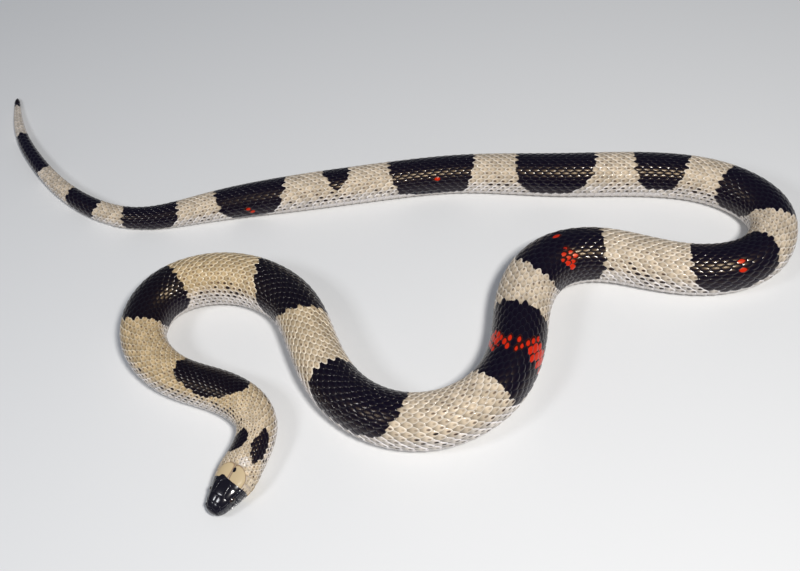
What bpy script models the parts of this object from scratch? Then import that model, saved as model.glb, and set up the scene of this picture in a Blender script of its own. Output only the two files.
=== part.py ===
# Milk snake lying on its belly in loose bends, life size.
# Closed solids in metres, +Z up, the floor at z = 0, the animal's snout towards -Y.
# The body is modelled whole as one sweep along its route and parted with thin cuts.
import math

import bmesh
import bpy
import numpy as np
from mathutils import Matrix, Vector

MM = 0.001
GAP = 0.3 * MM              # clear width of every cut between two nodes

# Points that the middle of the body passes over, snout to tail tip, in millimetres
ROUTE_MM = (
    (-73, -123.5), (-59.5, -105.5), (-54.5, -88.5), (-64.5, -75.5), (-86, -63), (-99.5, -41.5),
    (-93, -24), (-74, -17), (-55, -21), (-37.5, -36), (-29.5, -60), (-19, -84.5),
    (-1, -98.5), (20, -100.5), (40, -90), (52, -68), (58, -49), (71, -35), (90, -33),
    (112, -41.5), (136, -48.5), (158, -43), (166, -26), (154.5, -6), (126, 7.5), (83, 16),
    (44, 25), (10, 27.5), (-30, 28), (-76, 28), (-106, 29), (-132, 44), (-156.5, 76),
    (-167.5, 101), (-172, 126),
)
CENTRE_MM = (1.37, 0.56)     # middle of the model's box in the route's own numbers

# Half width of the body along the route: place, half width, both in millimetres
GIRTH_MM = (
    (0, 7.5), (22, 7.7), (32, 7.6), (45, 8.2), (75, 8.3), (100, 9.0), (130, 10.0),
    (155, 10.5), (200, 10.2), (240, 10.4), (290, 10.8), (330, 10.9), (365, 11.4),
    (400, 10.7), (430, 10.1), (480, 9.7), (520, 9.3), (590, 9.0), (625, 8.2), (690, 7.9),
    (735, 6.8), (765, 5.3), (800, 4.5), (840, 3.6), (875, 2.5), (895, 1.3),
)
# Height of the body over its half width along the route
FULLNESS = ((0, 1.68), (22, 1.68), (50, 1.92), (120, 1.98), (700, 1.98), (765, 1.9), (895, 1.85))

HEAD_LENGTH = 22 * MM       # snout to the cut behind the jaws
# Where each length of the body ends along the route, in millimetres from the snout
BODY_ENDS_MM = (
    ("neck", 48), ("forebody_1", 84), ("forebody_2", 112), ("forebody_3", 142),
    ("forebody_4", 184), ("midbody_1", 244), ("midbody_2", 284), ("midbody_3", 322),
    ("midbody_4", 364), ("midbody_5", 394), ("midbody_6", 446), ("midbody_7", 472),
    ("hindbody_1", 500), ("hindbody_2", 540), ("hindbody_3", 650), ("hindbody_4", 764),
    ("tail_1", 798), ("tail_2", 848),
)
TAIL_TIP = "tail_3"
TIP_ROUND = 1.2 * MM        # length over which the last length closes to its point

# Angles of the cross-section's corners from the middle of the back, in degrees
BODY_ANGLES = (0, 15, 30, 45, 60, 75, 90, 105, 120, 135, 148, 160)
WAIST = 0.48                # height of the widest line over the whole height
BELLY_DROP = 0.035          # how far the round belly would reach below the floor, over height
BACK_POWER = 2.1            # roundness of the back: 2 is an ellipse
FLANK_POWER = 2.4           # roundness of the flank below the widest line
TURN_STEP = 7.5             # most degrees that the route turns between two rings
RING_STEP = 10 * MM         # most length between two rings
ROUTE_SAMPLES = 3001        # places at which the route is measured for its length
BEND_SAMPLES = 21           # places at which one length of the body is measured for its bend
SLOPE_STEP = 0.05           # mm to either side over which a slope is taken

# Head stations: distance behind the snout, half width, top, widest line, underside
HEAD_MM = (
    (0.0, 0.0, 4.0, 4.0, 4.0), (0.5, 2.3, 5.4, 4.0, 2.4), (2, 3.8, 6.8, 4.0, 1.2),
    (5, 5.0, 8.4, 4.1, 0.4), (9, 6.3, 9.6, 4.4, 0.0), (13, 7.5, 10.5, 4.9, 0.0),
    (17, 8.1, 11.4, 5.4, 0.0), (22, 7.7, 12.9, 6.2, 0.0),
)
HEAD_RINGS = 16
SNOUT_DEPTH_MM = 4.0        # the front of the snout is looked for down to here
HEAD_BACK_POWER = 2.5       # the crown is flatter than the back
HALVINGS = 30               # steps of the searches for a point on the skin

# Line of the mouth on the side of the head, front to back, then down behind the jaw
LIPS_MM = ((-2, 2.8), (3, 2.8), (8, 3.0), (12, 3.5), (15.5, 4.3))
JAW_END_MM = ((17.5, 4.1), (19, 2.6), (19.6, -2))
MOUTH_HALF_WIDTH_MM = 10

EYE_PLACE_MM = (7.6, 4.6, 6.2)   # behind the snout, out from the middle, above the floor
EYE_RADIUS = 1.5 * MM
NOSTRIL_MM = (1.5, 3.5, 4.9)
NOSTRIL_RADIUS = 0.45 * MM
EYE_FACES = (16, 10)        # segments and rings of a ball
NOSTRIL_FACES = (8, 6)

PLATE_RISE = 0.2 * MM       # how far a head plate stands above the skin between plates
PLATE_ROOT = 0.45 * MM      # how deep its root is sunk
CROWN_SPLIT = 4             # points across a paired plate
MIDDLE_SPLIT = 5            # points across a plate in the middle
LIP_SPLIT = 3               # points along and across a lip plate
SEAM_MM = 0.15              # half width of the seam between two plates
# Plates on the front of the snout: rows of (above the floor in mm, half width in mm)
ROSTRAL_MM = ((3.15, 1.2), (3.8, 1.5), (4.6, 1.5), (5.3, 1.1), (5.7, 0.4))
MENTAL_MM = ((2.75, 0.8), (2.5, 0.8), (2.3, 0.3))
# Plates on the crown: rows of (behind the snout in mm, from angle, to angle in degrees)
MIDDLE_PLATES = {
    "frontal": ((6.3, -23, 23), (8.0, -20, 20), (10.2, -15, 15), (12.2, -3, 3)),
}
PAIRED_PLATES = {
    "internasal": ((1.3, 3, 40), (2.1, 3, 50), (2.9, 3, 46)),
    "prefrontal": ((3.2, 2.5, 46), (4.6, 2.5, 57), (6.0, 2.5, 36)),
    "supraocular": ((5.6, 42, 58), (6.4, 26.5, 58), (8.2, 23.5, 57), (10.0, 19, 52)),
    "parietal": ((10.5, 18, 48), (12.5, 6, 50), (14.5, 2, 46), (16.6, 2, 38), (18.3, 4, 20)),
    "nasal": ((1.0, 62, 98), (1.9, 54, 98), (3.0, 55, 92)),
    "loreal": ((3.3, 62, 92), (4.7, 63, 90)),
    "preocular": ((5.0, 62, 88), (5.75, 62, 88)),
    "upper_postocular": ((9.75, 57, 70), (10.6, 54, 70)),
    "lower_postocular": ((9.75, 73, 88), (10.6, 73, 88)),
    "front_temporal": ((11.0, 53, 69), (12.5, 53, 68), (13.9, 51, 66)),
    "low_temporal": ((11.0, 72, 86), (12.5, 71, 84), (13.9, 69, 82)),
    "rear_temporal": ((14.3, 49, 62), (15.6, 46, 60), (16.8, 42, 57)),
    "rear_low_temporal": ((14.3, 65, 78), (15.6, 63, 76), (16.8, 60, 72)),
}
# Where one lip plate ends and the next starts, in mm behind the snout
UPPER_LIP_MM = (1.0, 2.7, 4.5, 6.3, 8.6, 11.0, 13.3, 15.6)
LOWER_LIP_MM = (1.0, 2.4, 3.9, 5.5, 7.4, 9.6, 12.0, 14.4)
UPPER_LIP_HEIGHT = 1.75     # mm above the line of the mouth
LOWER_LIP_HEIGHT = 1.15     # mm below it

BLACK = (0.018, 0.016, 0.022)
CREAM = (0.60, 0.51, 0.34)
EYE_COLOUR = (0.03, 0.02, 0.015)
SCALE_ROUGHNESS = 0.35
PLATE_ROUGHNESS = 0.2
EYE_ROUGHNESS = 0.05
SHARP_EDGE = 40             # degrees from which an edge is shaded sharp


# Smooth curves through a few values

def smooth_curve(knots, values):
    """Natural cubic through values at rising knots, as a function of one number."""
    knots = np.array(knots, float)
    values = np.array(values, float)
    steps = np.diff(knots)
    count = len(knots)
    system = np.eye(count)
    bends = np.zeros_like(values)
    slopes = (np.diff(values, axis=0).T / steps).T
    for i in range(1, count - 1):
        system[i, i - 1:i + 2] = steps[i - 1], 2 * (steps[i - 1] + steps[i]), steps[i]
        bends[i] = 6 * (slopes[i] - slopes[i - 1])
    bends = np.linalg.solve(system, bends)

    def value(t):
        i = int(np.clip(np.searchsorted(knots, t, side="right") - 1, 0, count - 2))
        h = steps[i]
        a = (knots[i + 1] - t) / h
        b = (t - knots[i]) / h
        curve = (a ** 3 - a) * bends[i] + (b ** 3 - b) * bends[i + 1]
        return a * values[i] + b * values[i + 1] + curve * h * h / 6

    return value


def make_route():
    """Place and heading on the floor for any distance from the snout."""
    points = (np.array(ROUTE_MM) - CENTRE_MM) * MM
    chords = np.hypot(*np.diff(points, axis=0).T)
    knots = np.concatenate(([0], np.cumsum(chords)))
    curve = smooth_curve(knots, points)
    samples = np.linspace(0, knots[-1], ROUTE_SAMPLES)
    places = np.array([curve(t) for t in samples])
    lengths = np.concatenate(([0], np.cumsum(np.hypot(*np.diff(places, axis=0).T))))

    def at(distance):
        t = float(np.interp(distance, lengths, samples))
        ahead = curve(t + SLOPE_STEP * MM) - curve(t - SLOPE_STEP * MM)
        return Vector((*curve(t), 0)), math.atan2(ahead[1], ahead[0])

    return at, float(lengths[-1])


route_at, ROUTE_LENGTH = make_route()
half_width_mm = smooth_curve(*np.array(GIRTH_MM).T)


def half_width(distance):
    return float(half_width_mm(distance / MM)) * MM


def fullness(distance):
    places, values = np.array(FULLNESS).T
    return float(np.interp(distance / MM, places, values))


# Cross-sections

def section(width, top, waist, base, power_up, power_down, angles):
    """Corners (across, up) of a loaf section, from the back down both sides, as one loop."""
    left = []
    for degrees in angles:
        t = math.radians(degrees)
        power = power_up if degrees <= 90 else power_down
        across = width * abs(math.sin(t)) ** (2 / power)
        rise = abs(math.cos(t)) ** (2 / power)
        up = waist + (top - waist) * rise if degrees <= 90 else waist - (waist - base) * rise
        left.append((across, max(up, 0.0)))
    right = [(-across, up) for across, up in reversed(left[1:])]
    return left + right


def body_section(distance):
    width = half_width(distance)
    height = fullness(distance) * width
    return section(width, height, WAIST * height, -BELLY_DROP * height,
                   BACK_POWER, FLANK_POWER, BODY_ANGLES)


def ring_points(corners, place, heading):
    """A section stood up across the route; across is measured to the animal's left."""
    # the route runs from the snout back, so the animal's left is on its right hand
    side = Vector((math.sin(heading), -math.cos(heading), 0))
    return [place + side * across + Vector((0, 0, up)) for across, up in corners]


# Meshes and materials

def material(name, colour, roughness):
    made = bpy.data.materials.new(name)
    made.use_nodes = True
    shader = made.node_tree.nodes["Principled BSDF"]
    shader.inputs["Base Color"].default_value = (*colour, 1)
    shader.inputs["Roughness"].default_value = roughness
    shader.inputs["Metallic"].default_value = 0
    return made


def add_object(name, mesh, colour, roughness):
    made = bpy.data.objects.new(name, mesh)
    bpy.context.scene.collection.objects.link(made)
    mesh.materials.clear()
    mesh.materials.append(material(name + "_finish", colour, roughness))
    mesh.shade_smooth()
    mesh.set_sharp_from_angle(angle=math.radians(SHARP_EDGE))
    return made


def loft(name, rings, tip_at_start=None, tip_at_end=None):
    """Closed mesh through equal rings; a tip point closes an end in place of a flat face."""
    shape = bmesh.new()
    loops = [[shape.verts.new(point) for point in ring] for ring in rings]
    count = len(loops[0])
    for near, far in zip(loops, loops[1:]):
        for i in range(count):
            j = (i + 1) % count
            shape.faces.new((near[i], near[j], far[j], far[i]))
    for loop, tip in ((loops[0], tip_at_start), (loops[-1], tip_at_end)):
        if tip is None:
            shape.faces.new(loop)
            continue
        point = shape.verts.new(tip)
        for i in range(count):
            shape.faces.new((loop[i], loop[(i + 1) % count], point))
    bmesh.ops.recalc_face_normals(shape, faces=shape.faces)
    mesh = bpy.data.meshes.new(name)
    shape.to_mesh(mesh)
    shape.free()
    return mesh


# Neck, body and tail

def ring_distances(start, end):
    """Even places for rings, closer together where the route bends."""
    headings = [route_at(d)[1] for d in np.linspace(start, end, BEND_SAMPLES)]
    turned = sum(abs(math.remainder(b - a, math.tau)) for a, b in zip(headings, headings[1:]))
    count = max(2, math.ceil(math.degrees(turned) / TURN_STEP), math.ceil((end - start) / RING_STEP))
    return [start + (end - start) * i / count for i in range(count + 1)]


def cut_ring(distance, offset):
    """Ring in the plane of a cut, moved along the route by half the gap."""
    place, heading = route_at(distance)
    ahead = Vector((math.cos(heading), math.sin(heading), 0))
    return ring_points(body_section(distance), place + ahead * offset, heading)


def body_length(name, start, end):
    """One length of the body between two cuts."""
    inner = ring_distances(start, end)[1:-1]
    rings = [cut_ring(start, GAP / 2)]
    rings += [ring_points(body_section(d), *route_at(d)) for d in inner]
    rings.append(cut_ring(end, -GAP / 2))
    add_object(name, loft(name, rings), CREAM, SCALE_ROUGHNESS)


def tail_end(start):
    """Last length, closing to the point of the tail."""
    end = ROUTE_LENGTH - TIP_ROUND
    rings = [cut_ring(start, GAP / 2)]
    rings += [ring_points(body_section(d), *route_at(d)) for d in ring_distances(start, end)[1:]]
    tip, _ = route_at(ROUTE_LENGTH)
    tip.z = WAIST * fullness(end) * half_width(end)
    add_object(TAIL_TIP, loft(TAIL_TIP, rings, tip_at_end=tip), BLACK, SCALE_ROUGHNESS)


def body():
    start = HEAD_LENGTH
    for name, end_mm in BODY_ENDS_MM:
        body_length(name, start, end_mm * MM)
        start = end_mm * MM
    tail_end(start)


# Head

HEAD_PLACE, HEAD_HEADING = route_at(0)
CUT_PLACE, CUT_HEADING = route_at(HEAD_LENGTH)


def head_frame():
    """Matrix from (behind the snout, animal's left, up) to the world."""
    back = Vector((math.cos(HEAD_HEADING), math.sin(HEAD_HEADING), 0))
    left = Vector((back.y, -back.x, 0))
    turn = Matrix((back, left, Vector((0, 0, 1)))).transposed()
    return Matrix.Translation(HEAD_PLACE) @ turn.to_4x4()


HEAD_MATRIX = head_frame()


def head_point(behind, across, up):
    return HEAD_MATRIX @ Vector((behind * MM, across * MM, up * MM))


# the root of the distance behind the snout makes the snout round
head_shape = smooth_curve(np.sqrt(np.array(HEAD_MM)[:, 0]), np.array(HEAD_MM)[:, 1:])


def head_section(behind, angles):
    """Corners of the head's section at a distance behind the snout, in mm."""
    root = math.sqrt(behind)
    width, top, waist, base = head_shape(root) * MM
    share = root / math.sqrt(HEAD_LENGTH / MM)
    power = HEAD_BACK_POWER + (BACK_POWER - HEAD_BACK_POWER) * share ** 3
    # towards the neck the belly is as flat on the floor as on the body
    drop = BELLY_DROP * top * share
    return section(width, top, waist, base - drop, power, FLANK_POWER, angles)


def head_rings():
    """Rings from just behind the snout to the cut, following the route's first bend."""
    rings = []
    for i in range(1, HEAD_RINGS):
        behind = HEAD_LENGTH / MM * (i / HEAD_RINGS) ** 2
        rings.append(ring_points(head_section(behind, BODY_ANGLES), *route_at(behind * MM)))
    ahead = Vector((math.cos(CUT_HEADING), math.sin(CUT_HEADING), 0))
    corners = head_section(HEAD_LENGTH / MM, BODY_ANGLES)
    rings.append(ring_points(corners, CUT_PLACE - ahead * GAP / 2, CUT_HEADING))
    return rings


def skin_point(behind, degrees):
    """Point of the head's skin; positive angles are on the animal's left."""
    across, up = head_section(behind, (abs(degrees),))[0]
    place, heading = route_at(behind * MM)
    side = Vector((math.sin(heading), -math.cos(heading), 0))
    return place + side * math.copysign(across, degrees) + Vector((0, 0, up))


def skin_normal(behind, degrees):
    """Direction out of the skin, from its slopes along and around the head."""
    around = skin_point(behind, degrees + 1) - skin_point(behind, degrees - 1)
    along = skin_point(behind + SLOPE_STEP, degrees) - skin_point(behind - SLOPE_STEP, degrees)
    return around.cross(along).normalized()


def angle_at_height(behind, height):
    """Angle from the middle of the back at which the side of the head has a given height."""
    low, high = 0.0, BODY_ANGLES[-1]
    for _ in range(HALVINGS):
        middle = (low + high) / 2
        if skin_point(behind, middle).z > height * MM:
            low = middle
        else:
            high = middle
    return low


def snout_point(across, up):
    """Point on the front of the snout at a distance from the middle and a height, in mm."""
    near, far = 0.0, SNOUT_DEPTH_MM
    for _ in range(HALVINGS):
        behind = (near + far) / 2
        width, top, waist, base = head_shape(math.sqrt(behind))
        half_height = top - waist if up > waist else waist - base
        power = HEAD_BACK_POWER if up > waist else FLANK_POWER
        reach = (abs(across) / width) ** power + (abs(up - waist) / half_height) ** power
        near, far = (near, behind) if reach < 1 else (behind, far)
    return head_point(behind, across, up)


def snout_normal(across, up):
    """Direction out of the front of the snout."""
    over = snout_point(across + SLOPE_STEP, up) - snout_point(across - SLOPE_STEP, up)
    rise = snout_point(across, up + SLOPE_STEP) - snout_point(across, up - SLOPE_STEP)
    return rise.cross(over).normalized()


def crown_layer(rows, columns, rise):
    """Grid of points over the skin, from rows of (behind, from angle, to angle)."""
    grid = []
    for behind, start, end in rows:
        angles = [start + (end - start) * i / (columns - 1) for i in range(columns)]
        grid.append([skin_point(behind, a) + skin_normal(behind, a) * rise for a in angles])
    return grid


def snout_layer(rows, columns, rise):
    """Grid of points over the front of the snout, from rows of (height, half width)."""
    grid = []
    for up, half in rows:
        places = [half * (2 * i / (columns - 1) - 1) for i in range(columns)]
        grid.append([snout_point(a, up) + snout_normal(a, up) * rise for a in places])
    return grid


def plate(name, rows, columns=CROWN_SPLIT, layer=crown_layer):
    """Closed plate on the skin with its root sunk in."""
    shape = bmesh.new()
    layers = []
    for rise in (PLATE_RISE, -PLATE_ROOT):
        grid = layer(rows, columns, rise)
        layers.append([[shape.verts.new(point) for point in line] for line in grid])
    for grid in layers:
        for near, far in zip(grid, grid[1:]):
            for i in range(columns - 1):
                shape.faces.new((near[i], near[i + 1], far[i + 1]))
                shape.faces.new((near[i], far[i + 1], far[i]))
    borders = []
    for grid in layers:
        border = list(grid[0]) + [line[-1] for line in grid[1:-1]]
        border += grid[-1][::-1] + [line[0] for line in grid[-2:0:-1]]
        borders.append(border)
    count = len(borders[0])
    for i in range(count):
        j = (i + 1) % count
        shape.faces.new((borders[0][i], borders[0][j], borders[1][j], borders[1][i]))
    bmesh.ops.recalc_face_normals(shape, faces=shape.faces)
    mesh = bpy.data.meshes.new(name)
    shape.to_mesh(mesh)
    shape.free()
    return mesh


def mouth_height(behind):
    places, heights = np.array(LIPS_MM).T
    return float(np.interp(behind, places, heights))


def lip_plates(name, ends_mm, near, far):
    """Plates along one lip on both sides, between two heights from the line of the mouth."""
    made = []
    for start, end in zip(ends_mm, ends_mm[1:]):
        rows = []
        for behind in np.linspace(start + SEAM_MM, end - SEAM_MM, LIP_SPLIT):
            line = mouth_height(behind)
            angles = [angle_at_height(behind, line + offset) for offset in (near, far)]
            rows.append((behind, *angles))
        made.append(plate(name, rows, LIP_SPLIT))
        made.append(plate(name, [(b, -low, -high) for b, low, high in rows], LIP_SPLIT))
    return made


def crown_plates():
    made = [plate(name, rows, MIDDLE_SPLIT) for name, rows in MIDDLE_PLATES.items()]
    made.append(plate("rostral", ROSTRAL_MM, MIDDLE_SPLIT, snout_layer))
    for name, rows in PAIRED_PLATES.items():
        made.append(plate(name, rows))
        made.append(plate(name, [(behind, -start, -end) for behind, start, end in rows]))
    return made


def mouth_cutter():
    """A thin bent sheet across the head along the line of the mouth and down behind the jaw."""
    shape = bmesh.new()
    points = [Vector(p) for p in LIPS_MM + JAW_END_MM]
    upper, lower = [], []
    for i, point in enumerate(points):
        before = points[max(i - 1, 0)]
        after = points[min(i + 1, len(points) - 1)]
        along = (after - before).normalized()
        across = Vector((-along.y, along.x)) * GAP / MM / 2
        upper.append(point + across)
        lower.append(point - across)
    outline = upper + lower[::-1]
    sides = []
    for edge in (-MOUTH_HALF_WIDTH_MM, MOUTH_HALF_WIDTH_MM):
        sides.append([shape.verts.new(head_point(p.x, edge, p.y)) for p in outline])
    count = len(outline)
    for i in range(count):
        j = (i + 1) % count
        shape.faces.new((sides[0][i], sides[0][j], sides[1][j], sides[1][i]))
    for side in sides:
        half = count // 2
        for i in range(half - 1):
            shape.faces.new((side[i], side[i + 1], side[count - 2 - i], side[count - 1 - i]))
    bmesh.ops.recalc_face_normals(shape, faces=shape.faces)
    mesh = bpy.data.meshes.new("mouth")
    shape.to_mesh(mesh)
    shape.free()
    return mesh


def ball(name, radius, place, faces):
    """Ball whose poles point out to the sides of the head."""
    shape = bmesh.new()
    bmesh.ops.create_uvsphere(shape, u_segments=faces[0], v_segments=faces[1], radius=radius)
    turn = Matrix.Rotation(HEAD_HEADING, 4, "Z") @ Matrix.Rotation(math.radians(90), 4, "X")
    bmesh.ops.transform(shape, matrix=turn, verts=shape.verts)
    bmesh.ops.translate(shape, vec=place, verts=shape.verts)
    mesh = bpy.data.meshes.new(name)
    shape.to_mesh(mesh)
    shape.free()
    return mesh


def apply_boolean(target, meshes, operation):
    """Cut closed meshes out of an object, or join them to it, and apply."""
    group = bpy.data.collections.new("tools")
    bpy.context.scene.collection.children.link(group)
    tools = [bpy.data.objects.new("tool", mesh) for mesh in meshes]
    for tool in tools:
        group.objects.link(tool)
    change = target.modifiers.new("change", "BOOLEAN")
    change.operation = operation
    change.operand_type = "COLLECTION"
    change.collection = group
    bpy.context.view_layer.update()
    shape = bpy.context.evaluated_depsgraph_get()
    result = bpy.data.meshes.new_from_object(target.evaluated_get(shape))
    target.modifiers.remove(change)
    target.data = result
    for tool in tools:
        bpy.data.objects.remove(tool)
    bpy.data.collections.remove(group)


def islands(shape):
    """Groups of joined vertices."""
    left = set(shape.verts)
    groups = []
    while left:
        group = set()
        front = [left.pop()]
        while front:
            vert = front.pop()
            group.add(vert)
            for edge in vert.link_edges:
                other = edge.other_vert(vert)
                if other in left:
                    left.remove(other)
                    front.append(other)
        groups.append(group)
    return groups


def keep_island(mesh, choose):
    """Keep only the island that the choice ranks highest."""
    shape = bmesh.new()
    shape.from_mesh(mesh)
    groups = islands(shape)
    kept = max(groups, key=choose)
    dropped = [vert for group in groups if group is not kept for vert in group]
    bmesh.ops.delete(shape, geom=dropped, context="VERTS")
    shape.to_mesh(mesh)
    shape.free()


def mean_height(group):
    return sum(vert.co.z for vert in group) / len(group)


def head():
    """Head and lower jaw with their plates, parted along the line of the mouth."""
    tip = head_point(0, 0, HEAD_MM[0][2])
    whole = loft("head", head_rings(), tip_at_start=tip)
    upper = add_object("head", whole, BLACK, PLATE_ROUGHNESS)
    apply_boolean(upper, [mouth_cutter()], "DIFFERENCE")
    lower_mesh = upper.data.copy()
    keep_island(upper.data, mean_height)
    keep_island(lower_mesh, lambda group: -mean_height(group))
    jaw = add_object("lower_jaw", lower_mesh, BLACK, PLATE_ROUGHNESS)
    seam = GAP / MM / 2 + SEAM_MM
    upper_lip = lip_plates("upper_lip", UPPER_LIP_MM, UPPER_LIP_HEIGHT, seam)
    apply_boolean(upper, crown_plates() + upper_lip, "UNION")
    keep_island(upper.data, len)
    lower_lip = lip_plates("lower_lip", LOWER_LIP_MM, -seam, -LOWER_LIP_HEIGHT)
    mental = plate("mental", MENTAL_MM, LIP_SPLIT, snout_layer)
    apply_boolean(jaw, lower_lip + [mental], "UNION")
    keep_island(jaw.data, len)
    eyes_and_nostrils(upper)


def eyes_and_nostrils(upper):
    """Eyes in their sockets, and the pits of the nostrils."""
    cutters = []
    for name, side in (("eye_left", 1), ("eye_right", -1)):
        behind, across, up = EYE_PLACE_MM
        place = head_point(behind, side * across, up)
        add_object(name, ball(name, EYE_RADIUS, place, EYE_FACES), EYE_COLOUR, EYE_ROUGHNESS)
        cutters.append(ball("socket", EYE_RADIUS + GAP, place, EYE_FACES))
        behind, across, up = NOSTRIL_MM
        place = head_point(behind, side * across, up)
        cutters.append(ball("nostril", NOSTRIL_RADIUS, place, NOSTRIL_FACES))
    apply_boolean(upper, cutters, "DIFFERENCE")
    keep_island(upper.data, len)


def main():
    for old in list(bpy.data.objects):
        bpy.data.objects.remove(old)
    head()
    body()


main()
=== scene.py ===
# Milk snake lying in loose bends: skin, scales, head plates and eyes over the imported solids.
# Metres, +Z up. Places on the animal are given by the distance behind the snout and the arc
# down from the middle of the back, positive on its left, both in millimetres.
import math

import bmesh
import bpy
import numpy as np
from mathutils import Matrix, Vector


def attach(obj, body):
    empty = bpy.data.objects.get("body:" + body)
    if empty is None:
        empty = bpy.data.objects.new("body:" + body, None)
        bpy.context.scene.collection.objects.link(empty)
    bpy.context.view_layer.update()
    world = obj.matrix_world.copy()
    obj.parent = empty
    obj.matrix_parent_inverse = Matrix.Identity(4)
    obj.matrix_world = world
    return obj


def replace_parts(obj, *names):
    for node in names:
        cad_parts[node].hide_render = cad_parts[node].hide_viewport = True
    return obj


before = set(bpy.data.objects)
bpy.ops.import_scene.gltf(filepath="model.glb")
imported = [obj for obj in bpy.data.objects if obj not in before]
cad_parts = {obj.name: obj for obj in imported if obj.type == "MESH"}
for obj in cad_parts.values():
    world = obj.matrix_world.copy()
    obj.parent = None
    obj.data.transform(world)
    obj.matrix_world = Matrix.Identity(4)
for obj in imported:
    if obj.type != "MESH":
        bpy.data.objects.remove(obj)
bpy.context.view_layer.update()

mm = 0.001
rng = np.random.default_rng(11)

# Shape of the whole animal, the same as the solids have
bodyPlan = {
    "route": (
        (-73, -123.5), (-59.5, -105.5), (-54.5, -88.5), (-64.5, -75.5), (-86, -63), (-99.5, -41.5),
        (-93, -24), (-74, -17), (-55, -21), (-37.5, -36), (-29.5, -60), (-19, -84.5),
        (-1, -98.5), (20, -100.5), (40, -90), (52, -68), (58, -49), (71, -35), (90, -33),
        (112, -41.5), (136, -48.5), (158, -43), (166, -26), (154.5, -6), (126, 7.5), (83, 16),
        (44, 25), (10, 27.5), (-30, 28), (-76, 28), (-106, 29), (-132, 44), (-156.5, 76),
        (-167.5, 101), (-172, 126)),
    "centre": (1.37, 0.56),
    # place, half width
    "girth": (
        (0, 7.5), (22, 7.7), (32, 7.6), (45, 8.2), (75, 8.3), (100, 9.0), (130, 10.0),
        (155, 10.5), (200, 10.2), (240, 10.4), (290, 10.8), (330, 10.9), (365, 11.4),
        (400, 10.7), (430, 10.1), (480, 9.7), (520, 9.3), (590, 9.0), (625, 8.2), (690, 7.9),
        (735, 6.8), (765, 5.3), (800, 4.5), (840, 3.6), (875, 2.5), (895, 1.3)),
    # place, height over half width
    "fullness": ((0, 1.68), (22, 1.68), (50, 1.92), (120, 1.98), (700, 1.98), (765, 1.9), (895, 1.85)),
    "waist": 0.48,
    "bellyDrop": 0.035,
    "backPower": 2.1,
    "flankPower": 2.4,
    "headPower": 2.5,
    # behind the snout, half width, top, widest line, underside
    "head": (
        (0.0, 0.0, 4.0, 4.0, 4.0), (0.5, 2.3, 5.4, 4.0, 2.4), (2, 3.8, 6.8, 4.0, 1.2),
        (5, 5.0, 8.4, 4.1, 0.4), (9, 6.3, 9.6, 4.4, 0.0), (13, 7.5, 10.5, 4.9, 0.0),
        (17, 8.1, 11.4, 5.4, 0.0), (22, 7.7, 12.9, 6.2, 0.0)),
    "tipRound": 1.2,
}
headLength = 22
# how finely the route and the sections are worked out, and how often a search halves its step
fineness = {"route": 9000, "headRows": 60, "bodyStep": 1.0, "perDegree": 2, "shares": 180, "halvings": 26}
firstPlace = 1e-4
outside = -9.0  # value of a marking far away from it


def planAt(plan, name, place):
    # between the pairs of place and value that the plan gives
    return np.interp(place, *np.array(plan[name], float).T)


def smoothStep(low, high, value):
    t = np.clip((value - low) / (high - low), 0, 1)
    return t * t * (3 - 2 * t)


def smoothCurve(knots, values, at):
    # natural cubic through values at rising knots, read at many places
    knots = np.asarray(knots, float)
    values = np.asarray(values, float).reshape(len(knots), -1)
    steps = np.diff(knots)
    count = len(knots)
    system = np.eye(count)
    bends = np.zeros_like(values)
    slopes = np.diff(values, axis=0) / steps[:, None]
    for i in range(1, count - 1):
        system[i, i - 1:i + 2] = steps[i - 1], 2 * (steps[i - 1] + steps[i]), steps[i]
        bends[i] = 6 * (slopes[i] - slopes[i - 1])
    bends = np.linalg.solve(system, bends)
    i = np.clip(np.searchsorted(knots, at, side="right") - 1, 0, count - 2)
    h = steps[i][:, None]
    a = (knots[i + 1] - at)[:, None] / h
    b = (at - knots[i])[:, None] / h
    curve = (a ** 3 - a) * bends[i] + (b ** 3 - b) * bends[i + 1]
    return a * values[i] + b * values[i + 1] + curve * h * h / 6


def lengthsAlong(points):
    return np.concatenate(([0], np.cumsum(np.hypot(*np.diff(points, axis=0).T))))


def makeRoute():
    points = np.array(bodyPlan["route"]) - bodyPlan["centre"]
    knots = lengthsAlong(points)
    places = smoothCurve(knots, points, np.linspace(0, knots[-1], fineness["route"] + 1))
    slope = np.gradient(places, axis=0)
    return lengthsAlong(places), places, np.unwrap(np.arctan2(slope[:, 1], slope[:, 0]))


routeLengths, routePlaces, routeTurns = makeRoute()
bodyLength = routeLengths[-1]


def sectionSizes(s):
    # half width, top, widest line and underside at each distance, and the roundness of the back
    plan = bodyPlan
    s = np.asarray(s, float)
    shape = s.shape
    s = s.ravel()
    girth, head = np.array(plan["girth"], float), np.array(plan["head"], float)
    width = smoothCurve(girth[:, 0], girth[:, 1], s)[:, 0]
    height = planAt(plan, "fullness", s) * width
    body = np.stack([width, height, plan["waist"] * height, -plan["bellyDrop"] * height], 1)
    root = np.sqrt(np.clip(s, 0, headLength))
    share = root / math.sqrt(headLength)
    crown = smoothCurve(np.sqrt(head[:, 0]), head[:, 1:], root)
    crown[:, 3] -= plan["bellyDrop"] * crown[:, 1] * share
    power = plan["headPower"] + (plan["backPower"] - plan["headPower"]) * share ** 3
    sizes = np.where((s < headLength)[:, None], crown, body)
    return sizes.reshape(*shape, 4), np.where(s < headLength, power, plan["backPower"]).reshape(shape)


def halfWidth(s):
    return sectionSizes(s)[0][..., 0]


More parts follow.
